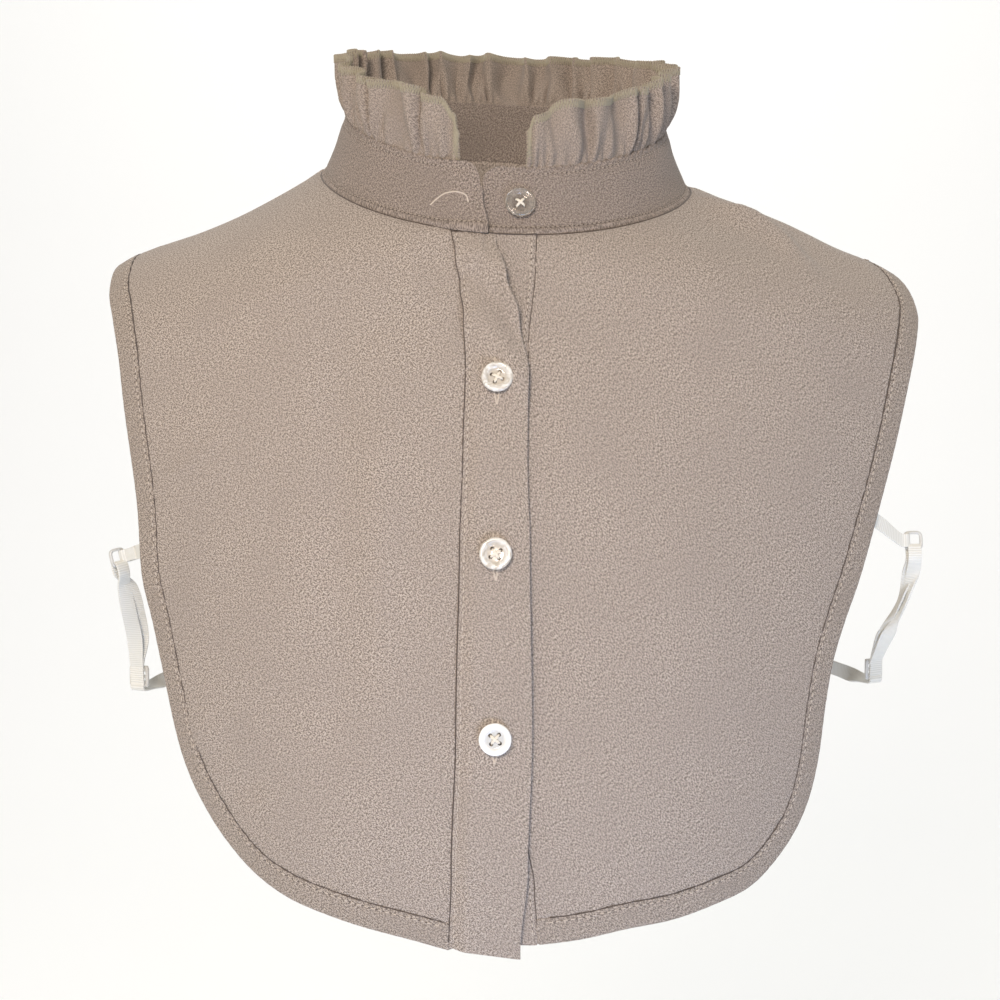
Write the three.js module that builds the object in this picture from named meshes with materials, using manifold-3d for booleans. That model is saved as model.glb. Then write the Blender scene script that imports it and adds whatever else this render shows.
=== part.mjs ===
// Detachable bib collar: a sleeveless shirt front and back with a stand collar, a gathered
// frill and elastic side straps. Millimetres, +Z up. The origin is the middle of the neck
// opening, level with the shoulders. The front faces -Y and the wearer's left is at +X.
import * as THREE from 'three';
import { mergeVertices } from 'three/addons/utils/BufferGeometryUtils.js';
import Module from 'manifold-3d';

const wasm = await Module();
wasm.setup();

// Cloth and gaps
const clothThick = 1.2;
const hemThick = 2.0;
const bandThick = 1.8;
const placketThick = 1.5;
const frillThick = 1.0;
const gap = 0.3;
const seamGap = 0.5;
const hemGap = 0.9;

// Neck opening and stand collar
const neckHalfWidth = 73.2;
const neckHalfDepth = 66;
const neckSideHeight = -2.5;
const neckFrontDrop = 24;
const neckBackRise = 14;
const neckLean = 4;
const bandRise = 24;
const bandTaper = 9.4;
const bandLap = 2.3;

// Shoulders, chest and back that the cloth hangs over
const shoulderStart = 6.5;
const shoulderFall = 0.3;
const shoulderRound = 45;
const tipStart = 140;
const tipDrop = 9;
const tipReach = 30;
const chestDepth = 124;
const chestHeight = -225;
const backDepth = 92;
const backHeight = -200;
const chestWrap = 32;
const chestWrapGrowth = 0.25;
const backWrap = 30;
const backWrapGrowth = 0.2;
const wrapPower = 2.3;

// Bib outline
const bibHalfWidth = 160;
const frontDrop = 325;
const backDrop = 285;
const seamBehind = 8;
const hemWidth = 10;

// Button strips and buttons
const placketWidth = 24;
const buttonWidth = 11.5;
const buttonThick = 2.4;
const buttonRim = 1.5;
const buttonDish = 0.8;
const holeWidth = 1.5;
const holeSpacing = 2.9;

// Frill
const frillHeight = 26;
const frillFolds = 44;
const foldDepth = 2.3;

// Elastic straps
const elasticWidth = 6;
const elasticThick = 1;
const ringWide = 11;
const ringTall = 8.5;
const ringBar = 1.3;
const sliderWide = 9.6;
const sliderTall = 9.4;
const sliderBar = 1.5;
const fittingThick = 1.2;
const tabRise = 7;

// The outer edge of the front, from the shoulder seam to the placket. down is a share of
// frontDrop, measured over the cloth from the shoulder ridge, and across of bibHalfWidth.
const leftEdge = [
  { down: -seamBehind / frontDrop, across: 0.985 },
  { down: 0.03, across: 0.989 },
  { down: 0.11, across: 0.979 },
  { down: 0.163, across: 0.951 },
  { down: 0.211, across: 0.926 },
  { down: 0.278, across: 0.904 },
  { down: 0.394, across: 0.863 },
  { down: 0.479, across: 0.847 },
  { down: 0.54, across: 0.817 },
  { down: 0.661, across: 0.764 },
  { down: 0.719, across: 0.728 },
  { down: 0.767, across: 0.683 },
  { down: 0.808, across: 0.632 },
  { down: 0.847, across: 0.566 },
  { down: 0.882, across: 0.479 },
  { down: 0.91, across: 0.381 },
  { down: 0.931, across: 0.3 },
  { down: 0.957, across: 0.193 },
  { down: 0.98, across: 0.108 },
];
const rightEdge = [
  { down: -seamBehind / frontDrop, across: 0.965 },
  { down: 0.03, across: 0.985 },
  { down: 0.08, across: 1.005 },
  { down: 0.114, across: 1.013 },
  { down: 0.144, across: 1.01 },
  { down: 0.212, across: 0.98 },
  { down: 0.335, across: 0.921 },
  { down: 0.467, across: 0.843 },
  { down: 0.535, across: 0.796 },
  { down: 0.583, across: 0.768 },
  { down: 0.637, across: 0.749 },
  { down: 0.699, across: 0.733 },
  { down: 0.752, across: 0.709 },
  { down: 0.794, across: 0.673 },
  { down: 0.833, across: 0.621 },
  { down: 0.862, across: 0.566 },
  { down: 0.885, across: 0.49 },
  { down: 0.911, across: 0.39 },
  { down: 0.932, across: 0.286 },
  { down: 0.956, across: 0.184 },
  { down: 0.975, across: 0.09 },
];

// The back's outer edge, from the middle of its hem up towards the shoulder seam, where it
// meets the front's. down is a share of backDrop.
const backEdge = [
  { down: 1, across: 0 },
  { down: 0.958, across: 0.25 },
  { down: 0.919, across: 0.42 },
  { down: 0.87, across: 0.55 },
  { down: 0.8, across: 0.65 },
  { down: 0.7, across: 0.71 },
  { down: 0.58, across: 0.75 },
  { down: 0.456, across: 0.79 },
  { down: 0.31, across: 0.87 },
  { down: 0.158, across: 0.94 },
];

// The lapping placket's seam and its free edge, as shares of placketWidth from the middle.
// Near the collar the strip swings aside and turns under, so it looks narrower.
const placketLine = [
  { down: 0.197, seam: -0.79, edge: -0.26 },
  { down: 0.235, seam: -0.7, edge: -0.08 },
  { down: 0.27, seam: -0.62, edge: 0.09 },
  { down: 0.306, seam: -0.55, edge: 0.29 },
  { down: 0.363, seam: -0.51, edge: 0.43 },
  { down: 0.45, seam: -0.53, edge: 0.42 },
  { down: 0.55, seam: -0.56, edge: 0.46 },
  { down: 0.74, seam: -0.6, edge: 0.5 },
  { down: 0.89, seam: -0.67, edge: 0.44 },
  { down: 0.985, seam: -0.72, edge: 0.33 },
];
const underSeam = 0.56;
const underReach = -0.4;
const placketEnd = 0.983;
const underEnd = 0.976;
const buttonAcross = -0.03;

// The collar band's ends: how far round each one starts, from its lower to its upper edge
const bandEnds = [
  { up: 0, left: 0.0106, right: 1.018 },
  { up: 0.55, left: 0.0165, right: 1.012 },
  { up: 0.82, left: 0.021, right: 1.0085 },
  { up: 0.93, left: 0.0245, right: 1.007 },
  { up: 1, left: 0.031, right: 1.004 },
];
const lapReach = 0.05;
const collarButtonTurn = 0.9846;
const collarButtonUp = 0.45;

// Where the placket buttons sit, as shares of frontDrop
const buttonRows = [
  { name: 'placket_button_1', down: 0.384 },
  { name: 'placket_button_2', down: 0.566 },
  { name: 'placket_button_3', down: 0.757 },
];

// Soft folds and dents of the worn cloth: place, reach and lift, as shares of bibHalfWidth,
// frontDrop and frontDrop, with the lift in millimetres and the slant as across per down
const folds = [
  { across: -0.27, down: 0.45, wide: 0.045, long: 0.2, lift: 1.6, slant: 0.05 },
  { across: -0.36, down: 0.45, wide: 0.05, long: 0.22, lift: -1.3, slant: 0.05 },
  { across: -0.62, down: 0.8, wide: 0.05, long: 0.07, lift: -1.6, slant: 0.9 },
  { across: 0.62, down: 0.05, wide: 0.2, long: 0.035, lift: 2.2, slant: 0.3 },
  { across: 0.66, down: 0.11, wide: 0.22, long: 0.03, lift: -1.8, slant: 0.3 },
  { across: 0.94, down: 0.01, wide: 0.28, long: 0.11, lift: -6.5, slant: 0 },
  { across: -0.78, down: 0.01, wide: 0.4, long: 0.08, lift: -2.2, slant: 0 },
];

// Height, flare and fold depth of the frill round the neck, from the left front end over
// the back to the right front end. along is a share of its length.
const frillStart = 0.0402;
const frillEnd = 0.9776;
const frillLine = [
  { along: 0, tall: 0.42, flare: 0.0, deep: 0.2 },
  { along: 0.01, tall: 0.78, flare: 0.02, deep: 0.4 },
  { along: 0.03, tall: 0.86, flare: 0.03, deep: 0.8 },
  { along: 0.1, tall: 0.82, flare: 0.04, deep: 1 },
  { along: 0.22, tall: 0.88, flare: 0.1, deep: 1.1 },
  { along: 0.35, tall: 0.8, flare: 0.22, deep: 1 },
  { along: 0.5, tall: 0.8, flare: 0.2, deep: 1 },
  { along: 0.68, tall: 0.88, flare: 0.18, deep: 1 },
  { along: 0.8, tall: 0.95, flare: 0.06, deep: 1.1 },
  { along: 0.9, tall: 0.92, flare: 0.04, deep: 1 },
  { along: 0.96, tall: 0.9, flare: 0.03, deep: 0.8 },
  { along: 0.99, tall: 0.75, flare: 0.02, deep: 0.4 },
  { along: 1, tall: 0.52, flare: 0, deep: 0.2 },
];

// The straps: where the ring and slider hang, the points between them, and the way the
// elastic's width lies at each. down is a share of frontDrop on the front edge and of
// backDrop on the back edge.
const straps = [
  {
    name: 'left',
    side: -1,
    tabDown: 0.45,
    backDown: 0.73,
    ring: [-147.5, -58, -150],
    ringAxis: [0.75, -0.6, 0.2],
    ringWidth: [0.55, 0.8, 0.1],
    route: [
      [-146, -55, -161],
      [-145.5, -50, -172],
      [-145, -43, -184],
    ],
    slider: [-145, -36, -200],
    sliderAxis: [-0.35, -0.93, 0],
    sliderWidth: [0.93, -0.35, 0],
  },
  {
    name: 'right',
    side: 1,
    tabDown: 0.41,
    backDown: 0.73,
    ring: [156.5, -54, -143],
    ringAxis: [0.1, -0.95, 0.2],
    ringWidth: [0.95, 0.1, 0],
    route: [
      [157.5, -50, -156],
      [156.5, -42, -168],
      [153.5, -30, -180],
    ],
    slider: [150, -12, -200],
    sliderAxis: [0.5, -0.85, 0],
    sliderWidth: [0.85, 0.5, 0],
  },
];

// Colours
const cloth = { color: 0xa6988a, roughness: 0.9, metalness: 0 };
const hemCloth = { color: 0x9f9184, roughness: 0.9, metalness: 0 };
const frillCloth = { color: 0xa39586, roughness: 0.9, metalness: 0 };
const pearl = { color: 0xe9e6df, roughness: 0.25, metalness: 0 };
const elastic = { color: 0xe1ded2, roughness: 0.6, metalness: 0 };
const plastic = { color: 0xf0efea, roughness: 0.3, metalness: 0 };

const half = Math.PI / 2;
const roundReach = shoulderRound * half;

// Neck opening

// A turn of 0 is the middle of the front, a quarter the left side, half the back.
function neckPoint(turn, rise = 0) {
  const angle = turn * 2 * Math.PI;
  const share = rise / bandRise;
  const shrink = bandTaper * Math.pow(Math.max(share, 0), 0.8);
  const c = Math.cos(angle);
  const x = -(neckHalfWidth - shrink) * Math.sin(angle);
  const y = -(neckHalfDepth - shrink) * c;
  const tilt = (neckFrontDrop + neckBackRise) / 2;
  const bowl = (neckFrontDrop - neckBackRise) / 2;
  const z = neckSideHeight - tilt * c - bowl * c * c - (neckLean * x) / neckHalfWidth + rise;
  return new THREE.Vector3(x, y, z);
}

// The draped surface

function ridgeHeight(x) {
  const reach = Math.abs(x);
  const tip = Math.max(0, (reach - tipStart) / tipReach);
  return -shoulderStart - (reach - neckHalfWidth) * shoulderFall - tipDrop * tip * tip;
}

function depthAt(x, z, back) {
  const deepest = back ? backDepth : chestDepth;
  const level = back ? backHeight : chestHeight;
  const top = back ? neckBackRise + neckSideHeight : -neckFrontDrop + neckSideHeight;
  const bow = (deepest - neckHalfDepth) / Math.pow(top - level, 2);
  const wrap = back ? backWrap : chestWrap;
  const growth = back ? backWrapGrowth : chestWrapGrowth;
  const side = (wrap - growth * Math.min(z, 0)) * Math.pow(Math.abs(x) / bibHalfWidth, wrapPower);
  return deepest - bow * Math.pow(z - level, 2) - side;
}

function foldLift(x, run) {
  let lift = 0;
  for (const fold of folds) {
    const down = (run / frontDrop - fold.down) / fold.long;
    const along = run / frontDrop - fold.down;
    const across = (x / bibHalfWidth - fold.across - fold.slant * along) / fold.wide;
    lift += fold.lift * Math.exp(-across * across - down * down);
  }
  return lift;
}

// run is measured over the cloth from the shoulder ridge, forward and down, or backward
// and down where it is negative.
function drape(x, run) {
  const back = run < 0;
  const far = Math.abs(run);
  const turn = Math.min(far / roundReach, 1) * half;
  const fall = far < roundReach ? shoulderRound * (1 - Math.cos(turn)) : shoulderRound + far - roundReach;
  const z = ridgeHeight(x) - fall;
  const y = depthAt(x, z, back) * Math.sin(turn) + foldLift(x, run) * Math.sin(turn);
  return new THREE.Vector3(x, back ? y : -y, z + foldLift(x, run) * Math.cos(turn));
}

// The point of the flat map that lies level with the neck opening at this turn
function neckOnDrape(turn) {
  const point = neckPoint(turn);
  const back = point.y > 0;
  const share = Math.min(1, Math.abs(point.y) / depthAt(point.x, point.z, back));
  const run = (Math.asin(share) / half) * roundReach;
  return new THREE.Vector2(point.x, back ? -run : run);
}

// Outlines on the flat map

function edgeCurve(rows, side, drop) {
  return new THREE.SplineCurve(
    rows.map((row) => new THREE.Vector2(side * row.across * bibHalfWidth, row.down * drop)),
  );
}

function rearEdge(side, frontRows) {
  const curve = edgeCurve(backEdge, side, -backDrop);
  curve.points.push(new THREE.Vector2(side * frontRows[0].across * bibHalfWidth, rearSeam));
  return curve;
}

function readTable(rows, key, column, value) {
  if (value <= rows[0][key]) return rows[0][column];
  for (let i = 1; i < rows.length; i += 1) {
    if (value <= rows[i][key]) {
      const share = (value - rows[i - 1][key]) / (rows[i][key] - rows[i - 1][key]);
      const ease = share * share * (3 - 2 * share);
      return rows[i - 1][column] + (rows[i][column] - rows[i - 1][column]) * ease;
    }
  }
  return rows[rows.length - 1][column];
}

function placketX(run, column) {
  return placketWidth * readTable(placketLine, 'down', column, run / frontDrop);
}

// A step over the cloth from a point of an edge curve, at right angles to the edge
function inset(curve, share, distance, inward) {
  const step = 0.002;
  const here = curve.getPointAt(share);
  const before = curve.getPointAt(Math.max(0, share - step));
  const after = curve.getPointAt(Math.min(1, share + step));
  const probe = 0.5;
  const spot = drape(here.x, here.y);
  const alongX = drape(here.x + probe, here.y).sub(spot).divideScalar(probe);
  const alongRun = drape(here.x, here.y + probe).sub(spot).divideScalar(probe);
  const edge = after.clone().sub(before);
  const tangent = alongX.clone().multiplyScalar(edge.x).addScaledVector(alongRun, edge.y);
  const normal = alongX.clone().cross(alongRun);
  const way = normal.cross(tangent).normalize().multiplyScalar(distance * inward);
  const xx = alongX.dot(alongX);
  const xr = alongX.dot(alongRun);
  const rr = alongRun.dot(alongRun);
  const wx = way.dot(alongX);
  const wr = way.dot(alongRun);
  const scale = xx * rr - xr * xr;
  return new THREE.Vector2(
    here.x + (wx * rr - wr * xr) / scale,
    here.y + (wr * xx - wx * xr) / scale,
  );
}

// Solids from surfaces

function closedGeometry(vertices, faces) {
  const geometry = new THREE.BufferGeometry();
  geometry.setAttribute('position', new THREE.Float32BufferAttribute(vertices, 3));
  geometry.setIndex(faces);
  return geometry;
}

function volumeOf(geometry) {
  const spot = geometry.getAttribute('position');
  const index = geometry.getIndex();
  const corner = [new THREE.Vector3(), new THREE.Vector3(), new THREE.Vector3()];
  let total = 0;
  for (let i = 0; i < index.count; i += 3) {
    corner.forEach((point, k) => point.fromBufferAttribute(spot, index.getX(i + k)));
    total += corner[0].dot(corner[1].clone().cross(corner[2])) / 6;
  }
  return total;
}

const core = new THREE.Vector3(0, 0, (chestHeight + neckSideHeight) / 2);

// The direction that is square to a surface, and points away from the body at its middle
function squareTo(point) {
  const step = 1e-3;
  const raw = (u, v) => {
    const du = point(Math.min(1, u + step), v).sub(point(Math.max(0, u - step), v));
    const dv = point(u, Math.min(1, v + step)).sub(point(u, Math.max(0, v - step)));
    return du.cross(dv).normalize();
  };
  const sign = raw(0.5, 0.5).dot(point(0.5, 0.5).sub(core)) < 0 ? -1 : 1;
  return (u, v) => raw(u, v).multiplyScalar(sign);
}

// A wall of cloth: point(u, v) is its middle, and level lifts it away from the body.
function wall(point, columns, rows, thick, level = () => 0) {
  const square = squareTo(point);
  const vertices = [];
  for (const side of [-0.5, 0.5]) {
    for (let i = 0; i <= columns; i += 1) {
      for (let j = 0; j <= rows; j += 1) {
        const u = i / columns;
        const v = j / rows;
        const lift = side * thick + level(u, v);
        const spot = point(u, v).addScaledVector(square(u, v), lift);
        vertices.push(spot.x, spot.y, spot.z);
      }
    }
  }
  const layer = (columns + 1) * (rows + 1);
  const at = (i, j, side) => side * layer + i * (rows + 1) + j;
  const faces = [];
  const quad = (a, b, c, d) => faces.push(a, b, c, a, c, d);
  for (let j = 0; j < rows; j += 1) {
    quad(at(0, j, 1), at(0, j + 1, 1), at(0, j + 1, 0), at(0, j, 0));
    quad(at(columns, j, 0), at(columns, j + 1, 0), at(columns, j + 1, 1), at(columns, j, 1));
  }
  for (let i = 0; i < columns; i += 1) {
    for (let j = 0; j < rows; j += 1) {
      quad(at(i, j, 1), at(i + 1, j, 1), at(i + 1, j + 1, 1), at(i, j + 1, 1));
      quad(at(i, j, 0), at(i, j + 1, 0), at(i + 1, j + 1, 0), at(i + 1, j, 0));
    }
    quad(at(i, 0, 0), at(i + 1, 0, 0), at(i + 1, 0, 1), at(i, 0, 1));
    quad(at(i, rows, 1), at(i + 1, rows, 1), at(i + 1, rows, 0), at(i, rows, 0));
  }
  const geometry = closedGeometry(vertices, faces);
  if (volumeOf(geometry) < 0) {
    for (let i = 0; i < faces.length; i += 3) {
      [faces[i + 1], faces[i + 2]] = [faces[i + 2], faces[i + 1]];
    }
    geometry.setIndex(faces);
  }
  return geometry;
}

function solidOf(geometry) {
  const bare = geometry.clone();
  bare.deleteAttribute('normal');
  bare.deleteAttribute('uv');
  const merged = mergeVertices(bare, 1e-4);
  return new wasm.Manifold(
    new wasm.Mesh({
      numProp: 3,
      vertProperties: new Float32Array(merged.getAttribute('position').array),
      triVerts: new Uint32Array(merged.getIndex().array),
    }),
  );
}

function geometryOf(solid) {
  const mesh = solid.getMesh();
  return closedGeometry(Array.from(mesh.vertProperties), Array.from(mesh.triVerts));
}

const bibCollar = new THREE.Group();

function addPiece(name, geometry, finish) {
  const mesh = new THREE.Mesh(geometry, new THREE.MeshStandardMaterial(finish));
  mesh.name = name;
  bibCollar.add(mesh);
  return mesh;
}

// Panels

// Fills the space between four curves of the flat map, and draws it up to the neck
function panelSurface(neckTurn, nearLine, edge, farLine) {
  return (u, v) => {
    const turn = neckTurn(u);
    const neck = neckOnDrape(turn);
    const outer = edge(u);
    const near = nearLine(v);
    const far = farLine(v);
    const flat = neck.clone().multiplyScalar(1 - v).addScaledVector(outer, v);
    const nearOff = near.clone().sub(nearLine(0).multiplyScalar(1 - v)).addScaledVector(nearLine(1), -v);
    const farOff = far.clone().sub(farLine(0).multiplyScalar(1 - v)).addScaledVector(farLine(1), -v);
    flat.addScaledVector(nearOff, 1 - u).addScaledVector(farOff, u);
    return { flat, turn, neck, v };
  };
}

// Level of the panels' top edge under the collar band
const tuck = bandThick / 2 + gap + clothThick / 2;

function raise({ flat, turn, neck, v }) {
  const spot = drape(flat.x, flat.y);
  const seat = neckPoint(turn).sub(drape(neck.x, neck.y));
  seat.z -= tuck;
  return spot.addScaledVector(seat, Math.pow(1 - v, 2.5));
}

const shoulderTurn = 0.25;
const frontSeam = -seamBehind;
const rearSeam = -seamBehind - seamGap;

function turnAtX(x) {
  return Math.asin(-x / neckHalfWidth) / (2 * Math.PI);
}

// The turn behind the shoulder where the neck opening reaches this run of the drape
function turnAtRun(run) {
  let low = shoulderTurn;
  let high = shoulderTurn + 0.15;
  for (let i = 0; i < 30; i += 1) {
    const middle = (low + high) / 2;
    if (neckOnDrape(middle).y > run) low = middle;
    else high = middle;
  }
  return low;
}

// The shoulder seam, from the neck opening to the outer edge
function seamLine(turn, x, run) {
  const from = neckOnDrape(turn).setY(run);
  const to = new THREE.Vector2(x, run);
  return (v) => from.clone().lerp(to, v);
}

function frontPanel(side, rows, innerX, margin) {
  const curve = edgeCurve(rows, side, frontDrop);
  const seamTurn = turnAtRun(frontSeam);
  const startTurn = turnAtX(innerX(neckOnDrape(0).y));
  const endTurn = side < 0 ? seamTurn : -seamTurn;
  const neckTurn = (u) => startTurn + (endTurn - startTurn) * u;
  const edge = (u) => inset(curve, 1 - u, margin, side);
  const start = neckOnDrape(startTurn);
  const last = edge(0);
  last.x = innerX(last.y);
  const near = (v) => {
    const run = start.y + (last.y - start.y) * v;
    return new THREE.Vector2(innerX(run), run);
  };
  const far = seamLine(endTurn, edge(1).x, frontSeam);
  const pinned = (u) => {
    if (u === 0) return last.clone();
    return u === 1 ? far(1) : edge(u);
  };
  return panelSurface(neckTurn, near, pinned, far);
}

function backPanel(margin) {
  const seamTurn = turnAtRun(rearSeam);
  const neckTurn = (u) => seamTurn + (1 - 2 * seamTurn) * u;
  const left = rearEdge(-1, leftEdge);
  const right = rearEdge(1, rightEdge);
  const edge = (u) =>
    u < 0.5 ? inset(left, 1 - 2 * u, margin, -1) : inset(right, 2 * u - 1, margin, 1);
  const near = seamLine(neckTurn(0), edge(0).x, rearSeam);
  const far = seamLine(neckTurn(1), edge(1).x, rearSeam);
  const pinned = (u) => {
    if (u === 0) return near(1);
    return u === 1 ? far(1) : edge(u);
  };
  return panelSurface(neckTurn, near, pinned, far);
}

// Hems, each a doubled border that stands a little proud of the panel

const hemLevel = (hemThick - clothThick) / 2;

function frontHem(side, rows, innerX) {
  const curve = edgeCurve(rows, side, frontDrop);
  return (u, v) => {
    const flat = inset(curve, u, v * hemWidth, side);
    if (u === 0) flat.y = frontSeam;
    if (u === 1) flat.x = innerX(flat.y);
    return drape(flat.x, flat.y);
  };
}

function rearHem() {
  const left = rearEdge(-1, leftEdge);
  const right = rearEdge(1, rightEdge);
  return (u, v) => {
    const onLeft = u < 0.5;
    const share = onLeft ? 1 - 2 * u : 2 * u - 1;
    const flat = inset(onLeft ? left : right, share, v * hemWidth, onLeft ? -1 : 1);
    if (u === 0 || u === 1) flat.y = rearSeam;
    if (share === 0) flat.x = 0;
    return drape(flat.x, flat.y);
  };
}

// Button strips

// A point of the front between the two panels, drawn up to the neck as they are
function stripPoint(x, run) {
  const turn = turnAtX(x);
  const neck = neckOnDrape(turn);
  const v = (run - neck.y) / (frontDrop * placketEnd - neck.y);
  return raise({ flat: new THREE.Vector2(x, run), turn, neck, v: Math.max(0, Math.min(1, v)) });
}

// The strip's lower edge is cut level with its corner at the seam, the one furthest out
function strip(leftX, rightX, end) {
  const level = neckOnDrape(0).y;
  const seamEnd = end * frontDrop;
  const seamReach = Math.max(Math.abs(leftX(seamEnd)), Math.abs(rightX(seamEnd)));
  return (u, v) => {
    const acrossAt = (run) => leftX(run) * (1 - v) + rightX(run) * v;
    const top = neckOnDrape(turnAtX(acrossAt(level))).y;
    const last = seamEnd + shoulderFall * (seamReach - Math.abs(acrossAt(seamEnd)));
    const run = top + (last - top) * u;
    return stripPoint(acrossAt(run), run);
  };
}

// The lapping strip lies on the front, and the strip under it is level with its panel
const lappingLevel = clothThick / 2 + gap + placketThick / 2;
const lappedLevel = (clothThick - placketThick) / 2;

// Collar band and frill

function bandPoint(u, v) {
  const left = readTable(bandEnds, 'up', 'left', v);
  const right = readTable(bandEnds, 'up', 'right', v);
  return neckPoint(left + (right - left) * u, v * bandRise);
}

function bandLevel(u) {
  const share = Math.max(0, 1 - u / lapReach);
  return bandLap * share * share * (3 - 2 * share);
}

// The leaning band's outer rim stands this much above the middle of its thickness
const rimRise = (bandThick / 2) * Math.sin(Math.atan2(bandTaper, bandRise));

function foldPhase(along) {
  const turn = along * 2 * Math.PI;
  return frillFolds * turn + 1.6 * Math.sin(7 * turn) + 1.1 * Math.sin(17 * turn + 1);
}

function frillPoint(u, v) {
  const turn = frillStart + (frillEnd - frillStart) * u;
  const seat = neckPoint(turn, bandRise);
  const angle = turn * 2 * Math.PI;
  const out = new THREE.Vector3(-Math.sin(angle), -Math.cos(angle), 0);
  const round = new THREE.Vector3(-Math.cos(angle), Math.sin(angle), 0);
  const height = frillHeight * readTable(frillLine, 'along', 'tall', u);
  const flare = readTable(frillLine, 'along', 'flare', u);
  const deep = foldDepth * readTable(frillLine, 'along', 'deep', u) * (0.3 + 0.7 * v);
  const phase = foldPhase(u);
  const lap = bandLevel(turn - bandEnds[0].left);
  seat.z += gap + rimRise + height * v * (1 + 0.03 * Math.cos(phase / 3));
  seat.addScaledVector(out, flare * height * Math.pow(v, 1.6) + deep * Math.cos(phase) + lap);
  seat.addScaledVector(round, 0.6 * deep * Math.sin(phase * 0.5));
  return seat;
}

// Buttons

function buttonSolid() {
  const r = buttonWidth / 2;
  const profile = [
    [0, 0],
    [r * 0.8, 0],
    [r, buttonThick * 0.4],
    [r, buttonThick * 0.75],
    [r - buttonRim * 0.5, buttonThick],
    [r - buttonRim, buttonThick - buttonDish * 0.3],
    [r - buttonRim * 1.3, buttonThick - buttonDish],
    [0, buttonThick - buttonDish],
  ];
  const points = profile.map(([x, y]) => new THREE.Vector2(x, y));
  let button = solidOf(new THREE.LatheGeometry(points, 20));
  for (const sx of [-1, 1]) {
    for (const sz of [-1, 1]) {
      const drill = new THREE.CylinderGeometry(holeWidth / 2, holeWidth / 2, buttonThick * 3, 6);
      drill.translate((sx * holeSpacing) / 2, 0, (sz * holeSpacing) / 2);
      button = button.subtract(solidOf(drill));
    }
  }
  return geometryOf(button);
}

function placeButton(name, spot, normal, twist) {
  const mesh = addPiece(name, buttonSolid(), pearl);
  const up = new THREE.Vector3(0, 1, 0);
  mesh.position.copy(spot);
  mesh.quaternion.setFromUnitVectors(up, normal);
  mesh.rotateY(twist);
}

// Elastic straps

function arrow([x, y, z]) {
  return new THREE.Vector3(x, y, z);
}

// A ribbon of elastic through points, whose width turns from one way to another between the
// points of two given numbers
function ribbon(points, widthFrom, widthTo, turnFrom, turnTo) {
  const curve = new THREE.CatmullRomCurve3(points, false, 'centripetal');
  const spans = points.length - 1;
  return wall((u, v) => {
    const share = THREE.MathUtils.smoothstep(u * spans, turnFrom, turnTo);
    const width = widthFrom.clone().lerp(widthTo, share).normalize();
    return curve.getPoint(u).addScaledVector(width, (v - 0.5) * elasticWidth);
  }, spans * 2, 1, elasticThick);
}

// Points that carry a ribbon round a bar, in along one side of it and out along the other.
// away is the direction in which the ribbon reaches the bar.
function roundBar(bar, away, width, barWide) {
  const side = away.clone().cross(width).normalize();
  const reach = Math.hypot(barWide, fittingThick) / 2 + gap + elasticThick / 2;
  const turnPoint = (angle) =>
    bar
      .clone()
      .addScaledVector(side, reach * Math.cos(angle))
      .addScaledVector(away, reach * Math.sin(angle));
  return [0, 0.25, 0.5, 0.75, 1].map((share) => turnPoint(share * Math.PI));
}

// A flat moulded loop with one or more slots, stacked along its height
function fitting(wide, tall, bar, slots) {
  const w = wide / 2;
  const l = tall / 2;
  const chamfer = bar * 0.6;
  const outline = new THREE.Shape();
  outline.moveTo(-w + chamfer, -l).lineTo(w - chamfer, -l).lineTo(w, -l + chamfer);
  outline.lineTo(w, l - chamfer).lineTo(w - chamfer, l).lineTo(-w + chamfer, l);
  outline.lineTo(-w, l - chamfer).lineTo(-w, -l + chamfer).closePath();
  const slotTall = (tall - bar * (slots + 1)) / slots;
  for (let i = 0; i < slots; i += 1) {
    const low = -l + bar + i * (slotTall + bar);
    const high = low + slotTall;
    const slot = new THREE.Path();
    slot.moveTo(-w + bar, low).lineTo(-w + bar, high).lineTo(w - bar, high);
    slot.lineTo(w - bar, low).closePath();
    outline.holes.push(slot);
  }
  const plate = new THREE.ExtrudeGeometry(outline, { depth: fittingThick, bevelEnabled: false });
  plate.translate(0, 0, -fittingThick / 2);
  return geometryOf(solidOf(plate));
}

// Places a fitting with its width along one way and its flat face along another, and gives
// back those ways and the middles of its top and bottom bars
function placeFitting(mesh, spot, along, axis, reach) {
  const z = axis.clone().normalize();
  const x = along.clone().addScaledVector(z, -along.dot(z)).normalize();
  const y = z.clone().cross(x);
  mesh.quaternion.setFromRotationMatrix(new THREE.Matrix4().makeBasis(x, y, z));
  mesh.position.copy(spot);
  const top = spot.clone().addScaledVector(y, reach);
  const low = spot.clone().addScaledVector(y, -reach);
  return { x, y, z, top, low };
}

// The point of an outline curve at this run
function pointAtRun(curve, run) {
  const rising = curve.getPoint(1).y > curve.getPoint(0).y;
  let low = 0;
  let high = 1;
  for (let i = 0; i < 30; i += 1) {
    const middle = (low + high) / 2;
    if (curve.getPoint(middle).y < run === rising) low = middle;
    else high = middle;
  }
  return curve.getPoint(low);
}

// Where elastic is sewn behind a hem: the spot, and the way that the edge runs
function behindHem(curve, run, side) {
  const flat = pointAtRun(curve, run);
  const x = flat.x - side * hemWidth * 0.45;
  const spot = drape(x, flat.y);
  const along = drape(pointAtRun(curve, run + 1).x, flat.y + 1).sub(drape(flat.x, flat.y));
  const square = drape(x - side, flat.y).sub(spot).cross(along).normalize();
  if (square.dot(spot.clone().sub(core)) > 0) square.negate();
  const outward = spot.clone().sub(drape(x - side, flat.y)).normalize();
  spot.addScaledVector(square, hemThick / 2 + gap + elasticThick / 2);
  const exit = spot.clone().addScaledVector(outward, hemWidth * 0.45 + elasticWidth / 2);
  return { spot, exit, along: along.normalize() };
}

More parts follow.
